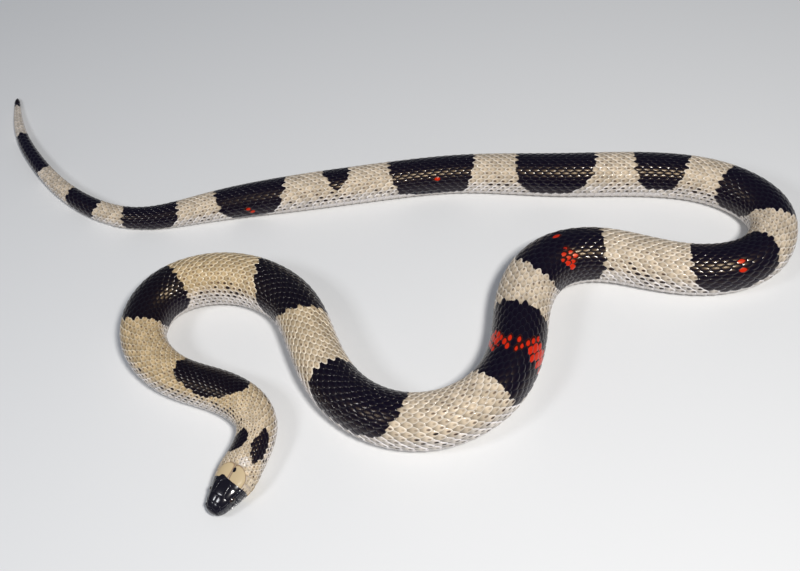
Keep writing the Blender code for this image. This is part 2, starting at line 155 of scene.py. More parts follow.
def sectionPoint(sizes, power, degrees):
    width, top, waist, base = [sizes[..., i] for i in range(4)]
    t = np.radians(degrees)
    upper = degrees <= 90
    p = np.where(upper, power, bodyPlan["flankPower"])
    across = width * np.abs(np.sin(t)) ** (2 / p)
    rise = np.abs(np.cos(t)) ** (2 / p)
    up = np.where(upper, waist + (top - waist) * rise, waist - (waist - base) * rise)
    return across, np.maximum(up, 0)


def headPlaces(start, count):
    # places along the head, closer together towards the snout
    return headLength * (np.arange(start, count) / count) ** 2


# Tables of the section at many distances, by angle and by share of the way round
tableS = np.concatenate((headPlaces(0, fineness["headRows"]),
                         np.arange(headLength, bodyLength, fineness["bodyStep"])))
tableS[0] = firstPlace
tableAngles = np.linspace(0, 180, 180 * fineness["perDegree"] + 1)
tableShares = np.linspace(0, 1, fineness["shares"] + 1)
tableSizes, tablePower = sectionSizes(tableS)
angleAcross, angleUp = sectionPoint(tableSizes[:, None, :], tablePower[:, None], tableAngles[None, :])
angleSteps = np.hypot(np.diff(angleAcross, axis=1), np.diff(angleUp, axis=1))
angleArcs = np.concatenate((np.zeros((len(tableS), 1)), np.cumsum(angleSteps, axis=1)), 1)
tableHalfRound = angleArcs[:, -1]
shareAcross, shareUp = [np.stack([np.interp(tableShares * total, arcs, row)
                                  for total, arcs, row in zip(tableHalfRound, angleArcs, values)])
                        for values in (angleAcross, angleUp)]


def readTable(table, s, column):
    # between the rows by distance and between the columns by number
    i = np.interp(s, tableS, np.arange(len(tableS)))
    j = np.clip(column, 0, table.shape[1] - 1)
    i0 = np.clip(i.astype(int), 0, len(tableS) - 2)
    j0 = np.clip(j.astype(int), 0, table.shape[1] - 2)
    di, dj = i - i0, j - j0
    near = table[i0, j0] * (1 - di) + table[i0 + 1, j0] * di
    far = table[i0, j0 + 1] * (1 - di) + table[i0 + 1, j0 + 1] * di
    return near * (1 - dj) + far * dj


def within(s, ends):
    # kept off the snout and the tip of the tail
    return np.clip(s, ends[0], bodyLength - ends[1])


def halfRound(s):
    return np.interp(s, tableS, tableHalfRound)


def arcAt(s, degrees):
    return readTable(angleArcs, s, np.abs(degrees) * fineness["perDegree"]) * np.sign(degrees)


def placed(s, across, up):
    # the route runs from the snout back, so the animal's left is on its right hand
    x = np.interp(s, routeLengths, routePlaces[:, 0])
    y = np.interp(s, routeLengths, routePlaces[:, 1])
    turn = np.interp(s, routeLengths, routeTurns)
    return np.stack([x + np.sin(turn) * across, y - np.cos(turn) * across, up], -1)


def byShare(s, side, share):
    # point of the outer surface by distance, side and share of the way from the back to the belly
    column = share * fineness["shares"]
    return placed(s, readTable(shareAcross, s, column) * np.sign(side), readTable(shareUp, s, column))


def onBack(s, arc):
    return byShare(s, arc, np.abs(arc) / halfRound(s))


def onBelly(s, arc):
    # here the arc counts from the middle of the belly
    return byShare(s, arc, 1 - np.abs(arc) / halfRound(s))


def onHead(s, degrees):
    # point of the head by distance and angle from the middle of the crown
    s = np.maximum(s, firstPlace)
    across, up = sectionPoint(*sectionSizes(s), np.abs(degrees))
    return placed(s, across * np.sign(degrees), up)


def halved(low, high, isLow):
    # closes in on the value at which the test turns false
    for _ in range(fineness["halvings"]):
        middle = (low + high) / 2
        more = isLow(middle)
        low, high = np.where(more, middle, low), np.where(more, high, middle)
    return low, high


def onSnout(across, up, deepest=4.0):
    # point on the front of the snout
    def isBefore(behind):
        shape, power = sectionSizes(behind)
        half = np.where(up > shape[..., 2], shape[..., 1] - shape[..., 2], shape[..., 2] - shape[..., 3])
        p = np.where(up > shape[..., 2], power, bodyPlan["flankPower"])
        reach = (np.abs(across) / shape[..., 0]) ** p + (np.abs(up - shape[..., 2]) / half) ** p
        return ~(reach < 1)
    near, far = halved(np.zeros_like(across), np.full_like(across, deepest), isBefore)
    return placed((near + far) / 2, across, up)


def bodyMiddle(s):
    # inside the body, and a little behind the very tip of the snout
    return placed(s + 0.6 * np.exp(-s), np.zeros_like(s), sectionSizes(s)[0][..., 2])


# how far to each side, along the body and round it, a surface is read to find its slopes
slopeSteps = {"skin": (0.03, 0.5), "scale": (0.05, 0.05), "plate": (0.02, 0.02), "face": (0.05, 0.5),
              "pitch": (0.4, 0.05), "degree": (0.02, 0.2)}


def slopesOf(surface, a, b, steps):
    along, across = slopeSteps[steps]
    return [(surface(a + da, b + db) - surface(a - da, b - db)) / (2 * (da + db))
            for da, db in ((along, 0), (0, across))]


def pointAndNormal(surface, a, b, steps, middle=None):
    # point of the surface, and the direction there away from the middle of the body
    point = surface(a, b)
    middle = bodyMiddle(a) if middle is None else middle
    normal = np.cross(*slopesOf(surface, a, b, steps))
    normal /= np.linalg.norm(normal, axis=-1, keepdims=True) + 1e-12
    facing = ((point - middle) * normal).sum(-1)
    return point, normal * np.where(facing < 0, -1, 1)[..., None]


# Markings. A blotch has the places of its front and rear edge at three arcs (right flank, middle,
# left flank), the arcs that it reaches down to on the right and left, and how square it is.
markings = {
    "blotchArcs": (-12, 0, 12),
    "blotchFlatFrom": 16, "blotchLeast": 0.3,
    "blotches": (
        # neck
        ((23.0, 22.2, 19.6), (32.5, 33.4, 35.4), (2.0, 8.6), 1.6),
        ((21.6, 22.4, 23), (25, 35.5, 30), (-9.4, -0.8), 2.0),
        # saddles
        ((49.8, 49.6, 49.4), (80.2, 80.6, 80.2), (-7.7, 13.6), 2.0),
        ((113.5, 110.6, 110), (136.6, 137.6, 140.5), (-19, 20), 3.0),
        ((169, 173.6, 178.5), (206, 202.2, 198.8), (-19.5, 18.2), 3.2),
        ((234, 232.2, 233), (271.8, 270.2, 266.5), (-19.5, 18.6), 3.0),
        ((304.5, 306.8, 306), (346.5, 343.9, 341.5), (-22, 20.5), 3.4),
        ((365, 362.5, 361.5), (397, 397.8, 399.5), (-21, 23.5), 3.4),
        ((432, 432.8, 433.5), (466, 467, 465.5), (-19, 18.9), 2.6),
        ((487.5, 482.3, 481.5), (514, 512.2, 511), (-19, 19.5), 3.2),
        ((531.4, 528.8, 528.3), (549.6, 551.8, 552), (-14.6, 18), 4.5),
        ((570.8, 568.4, 568.3), (602.2, 602.5, 602.6), (-17, 18.5), 3.4),
        ((623, 621.8, 622), (658, 659.2, 659.2), (-18.3, 18.3), 3.4),
        ((678.5, 677, 677), (688.5, 689, 689), (-4.6, 9.5), 2.2),
        ((681.5, 680.5, 680), (686, 686.5, 687), (-7.4, -2.0), 2.0),
        ((711, 706.4, 706.6), (735.8, 738.3, 738.8), (-19.5, 16), 4.0),
        ((759, 755.8, 757), (780.2, 781.7, 784), (-13.5, 13), 4.5),
        ((799, 795.3, 799), (812, 813.8, 818), (-12, 12), 6.0),
        ((841, 836.8, 841), (871, 868.5, 873), (-11, 11), 6.0),
        ((891.5, 893, 891.5), (905, 905, 905), (-9, 9), 8.0)),
    # arc, and how far behind the snout the cap ends there
    "capEnd": (
        (-16, 12.2), (-9, 11.9), (-4, 12.0), (-3.2, 13.1), (-2.2, 13.3), (-1, 12.8), (0, 12.6),
        (2, 12.2), (5, 12.0), (9, 12.4), (16, 12.8)),
    "capUnder": 9.5,
    "capUnderFrom": (0.62, 0.8),
    # ovals: place, arc, half length, half width
    "crownSpot": (16.4, 0.55, 1.0, 0.7),
    "flecks": (
        (31, 0.5, 2.5, 1.0), (28, 10.2, 7, 1.3), (42, 9.5, 8, 1.4), (37, -6.5, 6, 2.0),
        (46, -7.5, 8, 2.0), (58, -9.5, 10, 2.0), (74, -10.5, 12, 2.4), (80, -8.8, 2.5, 1.4),
        (97, -10.5, 12, 2.2), (160, 11.0, 10, 3.0), (157, 14.0, 14, 3.0), (402, 13, 3, 2),
        (410, 11.0, 5, 2.4), (418, 13, 12, 2.6), (422, 17, 20, 2.4), (285, 11.5, 7, 1.9),
        (683, -8.0, 4.0, 2.6), (684, -11, 9, 2.6), (610, -13, 8, 1.8), (520, -13, 6, 2)),
    "fleckFade": (1.15, 0.7),
    "reds": (
        (325.4, 15.2, 4.2, 4.6), (326, 10, 5.4, 3.2), (325.6, 7.4, 4.0, 1.8), (328, 5.2, 2.2, 1.3),
        (323.4, 3.0, 1.5, 1.4), (327.2, 2.6, 1.6, 1.3),
        (324.5, -2.6, 3.8, 1.9), (325.3, -7.6, 5.4, 2.6), (327.5, -11.5, 4.6, 3.2), (327, -16, 3.4, 2.6),
        (380.2, 12.0, 3.0, 2.2), (379.2, 9.2, 4.2, 2.0), (382.6, 7.2, 2.8, 1.6), (377, 6.4, 2.4, 1.5),
        (381.5, 4.0, 1.6, 1.4), (380.2, -4.2, 1.3, 1.4),
        (451.5, 8.6, 1.2, 1.1), (451.5, 5.0, 1.2, 1.1),
        (638.6, -8.0, 1.2, 0.8),
        (724.5, -10.0, 0.9, 0.5), (722.8, -11.8, 0.9, 0.5)),
    # strength of the spot on each pale scale: on the back, more on the flank, less on belly and tail
    "spotBack": 0.74,
    "spotFlank": (0.40, 0.22, 0.42),
    "spotBelly": (0.95, 0.68, 0.74),
    "spotTail": (0.4, 740, 800),
    # share of whitish colour: low on the flanks, less on the head, behind the crown, and rearwards
    "whiteFlank": (0.26, 0.50),
    "whiteHead": (0.25, 15, 27),
    "whiteNape": (20.3, 2.8, 2.4, 3.6),
    "whiteNapeFade": (0.8, 1.1, 0.6),
    "whiteNeck": (0.3, 60, 30),
    "whiteRear": (0.42, 150, 290),
    "whiteTail": (0.35, 800, 870),
}


def marked(name, value):
    # an amount that comes in between two values
    amount, low, high = markings[name]
    return amount * smoothStep(low, high, value)


def ovalSize(s, arc, oval):
    # below 1 inside the oval
    place, side, long, wide = oval
    return np.hypot((s - place) / long, (arc - side) / wide)


def ovalField(s, arc, oval):
    return (1 - ovalSize(s, arc, oval)) * oval[3]


def blotchField(s, arc):
    # above zero inside a blotch, about in millimetres
    best = np.full(np.shape(s), outside)
    flat = np.clip(arc, -markings["blotchFlatFrom"], markings["blotchFlatFrom"])
    for front, rear, sides, power in markings["blotches"]:
        ends = [np.polyval(np.polyfit(markings["blotchArcs"], edge, 2), flat) for edge in (front, rear)]
        middle, half = (ends[0] + ends[1]) / 2, (ends[1] - ends[0]) / 2
        half = np.maximum(half, markings["blotchLeast"])
        centre, reach = sum(sides) / 2, (sides[1] - sides[0]) / 2
        size = (np.abs((s - middle) / half) ** power + np.abs((arc - centre) / reach) ** power) ** (1 / power)
        best = np.maximum(best, (1 - size) * np.minimum(half, reach))
    return best


def headField(s, arc):
    # every black marking: the cap, which is shorter under the chin, the spot on the crown, the blotches
    under = smoothStep(*markings["capUnderFrom"], np.abs(arc) / halfRound(s))
    cap = planAt(markings, "capEnd", arc) * (1 - under) + markings["capUnder"] * under - s
    return np.maximum(np.maximum(cap, ovalField(s, arc, markings["crownSpot"])), blotchField(s, arc))


def redField(s, arc):
    best = np.full(np.shape(s), outside)
    for oval in markings["reds"]:
        best = np.maximum(best, ovalField(s, arc, oval))
    return best


def flecks(s, arc):
    # places where the spots of the scales are black and run together
    best = np.zeros(np.shape(s))
    for oval in markings["flecks"]:
        best = np.maximum(best, smoothStep(*markings["fleckFade"], ovalSize(s, arc, oval)))
    return best


def speckles(s, arc):
    # how dark the spot on each pale scale is: faint on the back, strong low on the flanks
    low = np.abs(arc) / halfRound(s)
    strength = (markings["spotBack"] + marked("spotFlank", low)) * (1 - marked("spotBelly", low))
    return strength * (1 - marked("spotTail", s))


def flankShare(s, arc):
    # whitish low on the flanks, and paler from the middle of the body on
    low = smoothStep(*markings["whiteFlank"], np.abs(arc) / halfRound(s))
    onHeadShare, start, end = markings["whiteHead"]
    low = low * (onHeadShare + (1 - onHeadShare) * smoothStep(start, end, s))
    nape = marked("whiteNapeFade", ovalSize(s, arc, markings["whiteNape"]))
    rearward = marked("whiteRear", s) + marked("whiteTail", s)
    return np.maximum.reduce((low, nape, marked("whiteNeck", s), rearward))


print("shape and markings ready, length", round(float(bodyLength), 1), "mm")


# Meshes
def addFields(mesh, fields):
    # named values at the points, or one number for all points
    for name, values in fields.items():
        attribute = mesh.attributes.new(name, "FLOAT", "POINT")
        attribute.data.foreach_set("value", np.resize(np.asarray(values, np.float32), len(mesh.vertices)))


def addObject(name, data):
    made = bpy.data.objects.new(name, data)
    bpy.context.scene.collection.objects.link(made)
    return made


def addPiece(name, mesh, material):
    mesh.shade_smooth()
    mesh.materials.append(material)
    piece = addObject(name, mesh)
    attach(piece, "root")
    return piece


def addMesh(name, points, faces, material, fields, uv):
    # points in millimetres; uv has one pair for each corner
    points = np.asarray(points, float).reshape(-1, 3) * mm
    points[:, 2] = np.maximum(points[:, 2], 0)
    mesh = bpy.data.meshes.new(name)
    mesh.from_pydata(points, [], faces)
    addFields(mesh, fields)
    layer = mesh.uv_layers.new(name="OFBake")
    layer.data.foreach_set("uv", np.asarray(uv, np.float32).ravel())
    return addPiece(name, mesh, material)


def ringQuads(rings, around):
    # quads between rings of points that follow one another
    faces = []
    for m in range(rings - 1):
        for k in range(around):
            n = (k + 1) % around
            faces.append((m * around + k, m * around + n, (m + 1) * around + n, (m + 1) * around + k))
    return faces


def turnsOf(around):
    return np.arange(around) / around * 2 * math.pi


def onePatch(faces, corner, size=0.01):
    # every face on the same small square of the texture
    square = np.array(((0, 0), (size, 0), (size, size), (0, size))) + corner
    return np.resize(square, (sum(map(len, faces)), 2))


# where the skin lies in a texture: margins along and across, and the widest way round
chartPlan = {"margins": (0.02, 0.01), "round": 78}


def unwrapped(s, arc, start, end, strips, strip=None):
    # strips of the stretch from start to end, one above another
    length = (end - start) / strips
    if strip is None:
        strip = np.clip(((s - start) / length).astype(int), 0, strips - 1)
    chart = np.stack([(s - start) / length - strip, (strip + 0.5 + arc / chartPlan["round"]) / strips], -1)
    margins = np.array(chartPlan["margins"])
    return margins + (1 - 2 * margins) * chart


# Material helpers
def feed(tree, node, inputs):
    # each input is linked to a socket or set to a value
    for key, value in inputs.items():
        if isinstance(value, bpy.types.NodeSocket):
            tree.links.new(value, node.inputs[key])
        else:
            node.inputs[key].default_value = value


def addNode(tree, kind, inputs, **settings):
    made = tree.nodes.new(kind)
    for name, value in settings.items():
        setattr(made, name, value)
    feed(tree, made, inputs)
    return made


def mixColours(tree, share, first, second, blend="MIX"):
    # sockets 0, 6 and 7 are the factor and the two colours
    made = addNode(tree, "ShaderNodeMix", {0: share, 6: first, 7: second}, data_type="RGBA", blend_type=blend)
    return made.outputs[2]


def ramp(tree, value, low, high, start=0.0, end=1.0):
    made = addNode(tree, "ShaderNodeMapRange", {
        "Value": value, "From Min": low, "From Max": high, "To Min": start, "To Max": end},
        interpolation_type="SMOOTHSTEP")
    return made.outputs["Result"]


def calculated(tree, operation, *values):
    return addNode(tree, "ShaderNodeMath", dict(enumerate(values)), operation=operation).outputs[0]


def field(tree, name):
    return addNode(tree, "ShaderNodeAttribute", {}, attribute_name=name).outputs["Fac"]


def noiseOf(tree, scale, detail):
    place = addNode(tree, "ShaderNodeNewGeometry", {}).outputs["Position"]
    made = addNode(tree, "ShaderNodeTexNoise", {"Vector": place, "Scale": scale, "Detail": detail})
    return made.outputs[0]


def newGroup(name, inputs, outputs):
    group = bpy.data.node_groups.new(name, "ShaderNodeTree")
    for label, kind, value in inputs:
        socket = group.interface.new_socket(name=label, in_out="INPUT", socket_type="NodeSocket" + kind)
        socket.default_value = value
    for label, kind in outputs:
        group.interface.new_socket(name=label, in_out="OUTPUT", socket_type="NodeSocket" + kind)
    return group, group.nodes.new("NodeGroupInput").outputs, group.nodes.new("NodeGroupOutput")


def useGroup(tree, group, inputs):
    return addNode(tree, "ShaderNodeGroup", inputs, node_tree=group).outputs


def newMaterial(name):
    made = bpy.data.materials.new(name)
    made.use_nodes = True
    return made, made.node_tree, made.node_tree.nodes["Principled BSDF"]


# Pattern of one scale or plate: colour of its middle, its rim and its spot, in each of the markings
colours = {
    "cream": (0.56, 0.415, 0.235, 1),
    "creamRim": (0.74, 0.64, 0.47, 1),
    "flank": (0.70, 0.64, 0.58, 1),
    "flankRim": (0.84, 0.81, 0.82, 1),
    "spotBrown": (0.080, 0.036, 0.026, 1),
    "spotDark": (0.014, 0.008, 0.012, 1),
    # the violet in the black and its rim is partly the scales' own iridescent colour and partly painted
    # reflection of blue surroundings
    "black": (0.0028, 0.0014, 0.0062, 1),
    "blackRim": (0.0016, 0.0010, 0.0060, 1),
    # the black low on the flanks is bluer: a painted reflection of blue surroundings
    "blackFlankBlueReflection": (0.0022, 0.0018, 0.015, 1),
    "red": (0.57, 0.020, 0.005, 1),
    "redRim": (0.03, 0.003, 0.002, 1),
    "crown": (0.61, 0.475, 0.28, 1),
    "crownRim": (0.32, 0.21, 0.12, 1),
}
scaleFields = ("Dark", "Red", "Spot", "Rank", "Along", "Across", "Flank", "Grain")
# the lists are a fade: from one value to another, and what it gives at each end where that isn't 0 and 1
patternPlan = {
    "noise": (900.0, 3.0), "wobble": 0.5,
    "rankWobble": 0.22, "rimFade": (0.64, 0.93), "rearRimHighlight": (-0.5, 0.35, 0.25, 1.0),
    "spotMiddle": 0.44, "spotLong": 0.38, "spotWide": 0.33,
    "spotGrowth": 0.45, "spotSize": 0.72, "spotFade": (0.45, 1.0, 1.0, 0.0), "strongFade": (0.9, 1.2),
    # grain gives each scale its own tone; the fade after it is painted shade on the front part of each scale,
    # under the scale before it
    "grainShade": (0.0, 1.0, 0.80, 1.07), "overlapPaintedShade": (-0.70, 0.15, 0.50, 1.0),
    "flankBlueReflection": 0.8, "darkWobble": 0.6, "darkFade": (-0.06, 0.06),
    "redUneven": 0.7, "redWobble": 1.1, "redFade": (-0.10, 0.10), "redFill": 0.25, "emberFade": (0.27, 0.47),
}


def makePatternGroup():
    plan = patternPlan
    inputs = [(label, "Float", 0.0) for label in scaleFields]
    inputs += [("Pale", "Color", colours["cream"]), ("Pale Rim", "Color", colours["creamRim"])]
    group, given, out = newGroup("scalePattern", inputs, (("Color", "Color"), ("Dark Mask", "Float")))

    def calc(operation, *values):
        return calculated(group, operation, *values)

    def fade(value, name):
        return ramp(group, value, *plan[name])

    def mix(*values):
        return mixColours(group, *values)

    wobble = calc("MULTIPLY_ADD", noiseOf(group, *plan["noise"]), plan["wobble"], -plan["wobble"] / 2)
    rank = calc("MULTIPLY_ADD", wobble, plan["rankWobble"], given["Rank"])
    # the pale rim is the scale's own paler edge; it is full only at the rear, as a painted highlight along
    # the free rear edge
    rim = calc("MULTIPLY", fade(rank, "rimFade"), fade(given["Along"], "rearRimHighlight"))
    # the spot lies before the rear tip of the scale, and a strong spot is larger
    back = calc("DIVIDE", calc("SUBTRACT", given["Along"], plan["spotMiddle"]), plan["spotLong"])
    aside = calc("DIVIDE", given["Across"], plan["spotWide"])
    away = calc("SQRT", calc("MULTIPLY_ADD", back, back, calc("MULTIPLY", aside, aside)))
    size = calc("MULTIPLY_ADD", given["Spot"], plan["spotGrowth"], plan["spotSize"])
    away = calc("ADD", calc("DIVIDE", away, size), wobble)
    spot = calc("MULTIPLY", fade(away, "spotFade"), given["Spot"])
    low = given["Flank"]
    middle = mix(low, given["Pale"], colours["flank"])
    pale = mix(rim, middle, mix(low, given["Pale Rim"], colours["flankRim"]))
    # each scale's own tone, times painted shade on its front part where the scale before it overlaps
    toneAndPaintedShade = calc("MULTIPLY", fade(given["Grain"], "grainShade"), fade(given["Along"], "overlapPaintedShade"))
    pale = mix(1.0, pale, toneAndPaintedShade, "MULTIPLY")
    strong = calc("MAXIMUM", low, fade(given["Spot"], "strongFade"))
    pale = mix(spot, pale, mix(strong, colours["spotBrown"], colours["spotDark"]))
    dark = mix(rim, colours["black"], colours["blackRim"])
    # low on the flanks the black is mixed towards the painted blue reflection
    dark = mix(calc("MULTIPLY", low, plan["flankBlueReflection"]), dark, colours["blackFlankBlueReflection"])
    isDark = fade(calc("MULTIPLY_ADD", wobble, plan["darkWobble"], given["Dark"]), "darkFade")
    colour = mix(isDark, pale, dark)
    uneven = calc("MULTIPLY", calc("SUBTRACT", given["Grain"], 0.5), plan["redUneven"])
    redder = calc("MULTIPLY_ADD", wobble, plan["redWobble"], calc("ADD", given["Red"], uneven))
    # well inside a red place the whole scale is red, and near its edge only the middle
    inner = calc("MULTIPLY_ADD", given["Red"], -plan["redFill"], rank)
    ember = mix(fade(inner, "emberFade"), colours["red"], colours["redRim"])
    feed(group, out, {"Color": mix(fade(redder, "redFade"), colour, ember), "Dark Mask": isDark})
    return group


hornPlan = {"size": 2500.0, "stretch": 0.3, "fineDetail": 4.0, "broad": (60.0, 2.0), "wear": 0.12,
            "bumpDepth": 0.00004, "glossFade": (0.40, 0.85), "coatRoughness": 0.10}


def makeGrainGroup():
    # fine unevenness of horn, in two sizes
    plan = hornPlan
    inputs = [(label, "Float", plan[label.lower()]) for label in ("Size", "Stretch")]
    group, given, out = newGroup("hornGrain", inputs, (("Height", "Float"), ("Mask", "Float")))
    fine, broad = noiseOf(group, given["Size"], plan["fineDetail"]), noiseOf(group, *plan["broad"])
    height = calculated(group, "MULTIPLY_ADD", fine, given["Stretch"], broad)
    feed(group, out, {"Height": height, "Mask": broad})
    return group


patternGroup = makePatternGroup()
grainGroup = makeGrainGroup()
finishes = {
    "glossyScale": dict(
        pale=colours["cream"], paleRim=colours["creamRim"], roughness=0.38, darkRoughness=0.25,
        grainSize=2600.0, bump=0.3, coat=0.9, paleCoat=0.45, middleGloss=0.05,
        tint=(1.0, 0.74, 0.42, 1), ior=1.34),
    "headPlate": dict(
        pale=colours["crown"], paleRim=colours["crownRim"], roughness=0.52, darkRoughness=0.18,
        grainSize=1800.0, bump=0.35, coat=0.9, paleCoat=0.03, middleGloss=1.0,
        tint=(1, 1, 1, 1), ior=1.38),
    "bareSkin": dict(
        pale=colours["creamRim"], paleRim=colours["creamRim"], roughness=0.55, darkRoughness=0.45,
        grainSize=3200.0, bump=0.5, coat=0.0, paleCoat=0.0, middleGloss=1.0,
        tint=(1, 1, 1, 1), ior=1.38, underCrown=colours["crownRim"]),
}


def makeScaleMaterial(name):
    values, plan = finishes[name], hornPlan
    made, tree, shader = newMaterial(name)
    rim = values["paleRim"]
    if "underCrown" in values:
        rim = mixColours(tree, field(tree, "crown"), rim, values["underCrown"])
    inputs = {label: field(tree, label.lower()) for label in scaleFields}
    pattern = useGroup(tree, patternGroup, {"Pale": values["pale"], "Pale Rim": rim, **inputs})
    grain = useGroup(tree, grainGroup, {"Size": values["grainSize"]})

    def byMask(pale, dark):
        return calculated(tree, "MULTIPLY_ADD", pattern["Dark Mask"], dark - pale, pale)

    # the black is glossier than the cream
    gloss = byMask(values["roughness"], values["darkRoughness"])
    coat = byMask(values["paleCoat"], values["coat"])
    rimmed = ramp(tree, field(tree, "rank"), *plan["glossFade"], values["middleGloss"], 1.0)
    bump = addNode(tree, "ShaderNodeBump", {
        "Strength": values["bump"], "Distance": plan["bumpDepth"], "Height": grain["Height"]})
    feed(tree, shader, {
        "Base Color": pattern["Color"],
        "Roughness": calculated(tree, "MULTIPLY_ADD", grain["Mask"], plan["wear"], gloss),
        "Normal": bump.outputs[0],
        "IOR": values["ior"],
        "Specular Tint": values["tint"],
        "Coat Weight": calculated(tree, "MULTIPLY", coat, rimmed),
        "Coat Roughness": plan["coatRoughness"]})
    return made


scaleMaterial, plateMaterial, skinMaterial = [makeScaleMaterial(name) for name in finishes]
print("materials ready")

# Skin, with the groove of the mouth and pits for eyes and nostrils
# eye: behind the snout, out from the middle, height
eyePlan = {"centre": (7.6, 4.45, 6.15), "angle": 70.0, "radius": 1.40, "pit": 0.9, "pitFade": (1.95, 1.5),
           "lid": 1.30, "lidTube": 0.21, "lidFlat": 0.9, "lidHeight": 0.66, "lidSteps": 12}
# nostril: behind the snout, degrees from the middle of the crown
nostrilPlan = {"centre": (1.65, 74.0), "pit": 0.6, "pitFade": (0.42, 0.252),
               "radii": (0.74, 0.62, 0.50, 0.38, 0.30, 0.24, 0.0),
               "heights": (-0.10, 0.10, 0.16, 0.11, -0.02, -0.3, -0.4)}
skinPlan = {
    "headRings": 72, "ringStep": 1.5, "columns": 60, "mouthColumn": 38, "strips": 12,
    "headInset": 0.10, "bodyInset": 0.34, "insetFade": (15, 22),
    "tipInset": (0.25, 0.4), "tipLength": 3, "tipUp": 1.0, "tipGap": 0.15, "snoutGap": 0.001,
    "endCharts": ((0.02, 0.05), (0.98, 0.95)),
    # place, height of the line of the mouth
    "mouthLine": ((0, 2.8), (3, 2.8), (8, 3.0), (12, 3.5), (15.5, 4.3), (17, 4.5), (30, 4.5)),
    "mouthDepth": 0.7, "mouthHalf": 1.6, "mouthFade": (16.8, 14.7), "mouthColumnsFade": (22, 17),
    "rank": 0.9, "crownFade": (20, 18.5),
}


def mouthAngle(s):
    # degrees down from the crown to the line of the mouth
    height = planAt(skinPlan, "mouthLine", s)
    shape, power = sectionSizes(s)
    return halved(np.zeros_like(s), np.full_like(s, 160.0),
                  lambda degrees: sectionPoint(shape, power, degrees)[1] > height)[0]


def eyeMiddle(side):
    place, across, up = eyePlan["centre"]
    return placed(place, side * across, up)


def headPits(point):
    # depth of the pits for the eyes and nostrils
    place, angle = nostrilPlan["centre"]
    depth = 0
    for side in (1, -1):
        for plan, middle in ((eyePlan, eyeMiddle(side)), (nostrilPlan, onHead(place, side * angle))):
            away = np.linalg.norm(point - middle, axis=-1)
            depth = depth + plan["pit"] * smoothStep(*plan["pitFade"], away)
    return depth


def makeSkin():
    plan = skinPlan
    tip = bodyLength - bodyPlan["tipRound"]
    rings = np.concatenate((headPlaces(1, plan["headRings"]), np.arange(headLength, tip, plan["ringStep"])))
    columns, at = plan["columns"], plan["mouthColumn"]
    # even steps round the body, and on the head one column that follows the line of the mouth
    even = np.arange(columns + 1) / columns
    byArc = np.stack([np.interp(even * total, arcs, tableAngles)
                      for total, arcs in zip(tableHalfRound, angleArcs)])
    degrees = np.stack([np.interp(rings, tableS, byArc[:, j]) for j in range(columns + 1)], 1)
    mouth, half = mouthAngle(rings)[:, None], plan["mouthHalf"]
    above = np.arange(at) / (at - 1) * (mouth - half)
    below = mouth + half + np.arange(columns - at) / (columns - at - 1) * (180 - mouth - half)
    following = np.concatenate((above, mouth, below), 1)
    share = smoothStep(*plan["mouthColumnsFade"], rings)[:, None]
    degrees = degrees * (1 - share) + following * share
    signed = np.concatenate((degrees, -degrees[:, -2:0:-1]), 1)
    s = np.repeat(rings[:, None], signed.shape[1], 1)
    point, normal = pointAndNormal(onHead, s, signed, "skin")
    inset = plan["headInset"] + (plan["bodyInset"] - plan["headInset"]) * smoothStep(*plan["insetFade"], s)
    least, more = plan["tipInset"]
    inset = np.minimum(inset, (least + more * smoothStep(tip - plan["tipLength"], tip, s)) * halfWidth(s))
    groove = (np.abs(np.abs(signed) - mouth) < 0.01) * smoothStep(*plan["mouthFade"], s)
    inset = inset + groove * plan["mouthDepth"] + headPits(point)
    point = point - normal * inset[..., None]
    arc = arcAt(s, signed)
    count, around = s.shape
    ends = (onHead(plan["snoutGap"], 0), placed(bodyLength - plan["tipGap"], 0, plan["tipUp"]))
    points = np.concatenate((point.reshape(-1, 3), ends))
    faces = ringQuads(count, around)
    i, j = np.divmod(np.arange(len(faces)), around)
    # on the right side the arc runs on to the middle of the belly from below
    wide = np.concatenate((arc, arc[:, :1]), 1)
    strip = np.clip((rings[:-1] / bodyLength * plan["strips"]).astype(int), 0, plan["strips"] - 1)[i]
    uv = []
    for row, column in ((i, j), (i, j + 1), (i + 1, j + 1), (i + 1, j)):
        flat = wide[row, column]
        flat = np.where((column == columns) & (j >= columns), -flat, flat)
        uv.append(unwrapped(rings[row], flat, 0, bodyLength, plan["strips"], strip))
    uv = [np.stack(uv, 1).reshape(-1, 2), np.tile(np.repeat(plan["endCharts"], 3, 0), (around, 1))]
    base, last = count * around, (count - 1) * around
    for j in range(around):
        k = (j + 1) % around
        faces += [(base, k, j), (base + 1, last + j, last + k)]
    fields = {"dark": headField(s, arc), "red": redField(s, arc), "flank": flankShare(s, arc),
              "crown": smoothStep(*plan["crownFade"], s)}
    fields = {name: np.append(values, values.ravel()[[0, -1]]) for name, values in fields.items()}
    fields.update(spot=0, rank=plan["rank"], grain=0.5)
    skin = addMesh("skin", points, faces, skinMaterial, fields, np.concatenate(uv))
    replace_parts(skin, *[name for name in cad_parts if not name.startswith("eye_")])


makeSkin()
print("skin ready")


# Pads: small closed forms, each with a middle, rings one outside another and a point below
def overRings(middle, rings, below, around):
    # values at the middle, on each ring and at the point below
    return np.concatenate(([middle], np.repeat(rings, around), [below]))


def padFaces(rings, around):
    faces = [(0, 1 + k, 1 + (k + 1) % around) for k in range(around)]
    faces += [(a + 1, d + 1, c + 1, b + 1) for a, b, c, d in ringQuads(rings, around)]
    last, below = 1 + (rings - 1) * around, 1 + rings * around
    return faces + [(last + (k + 1) % around, last + k, below) for k in range(around)]


padChart = {"size": 0.002, "rings": (0.3, 1), "shift": 0.004}


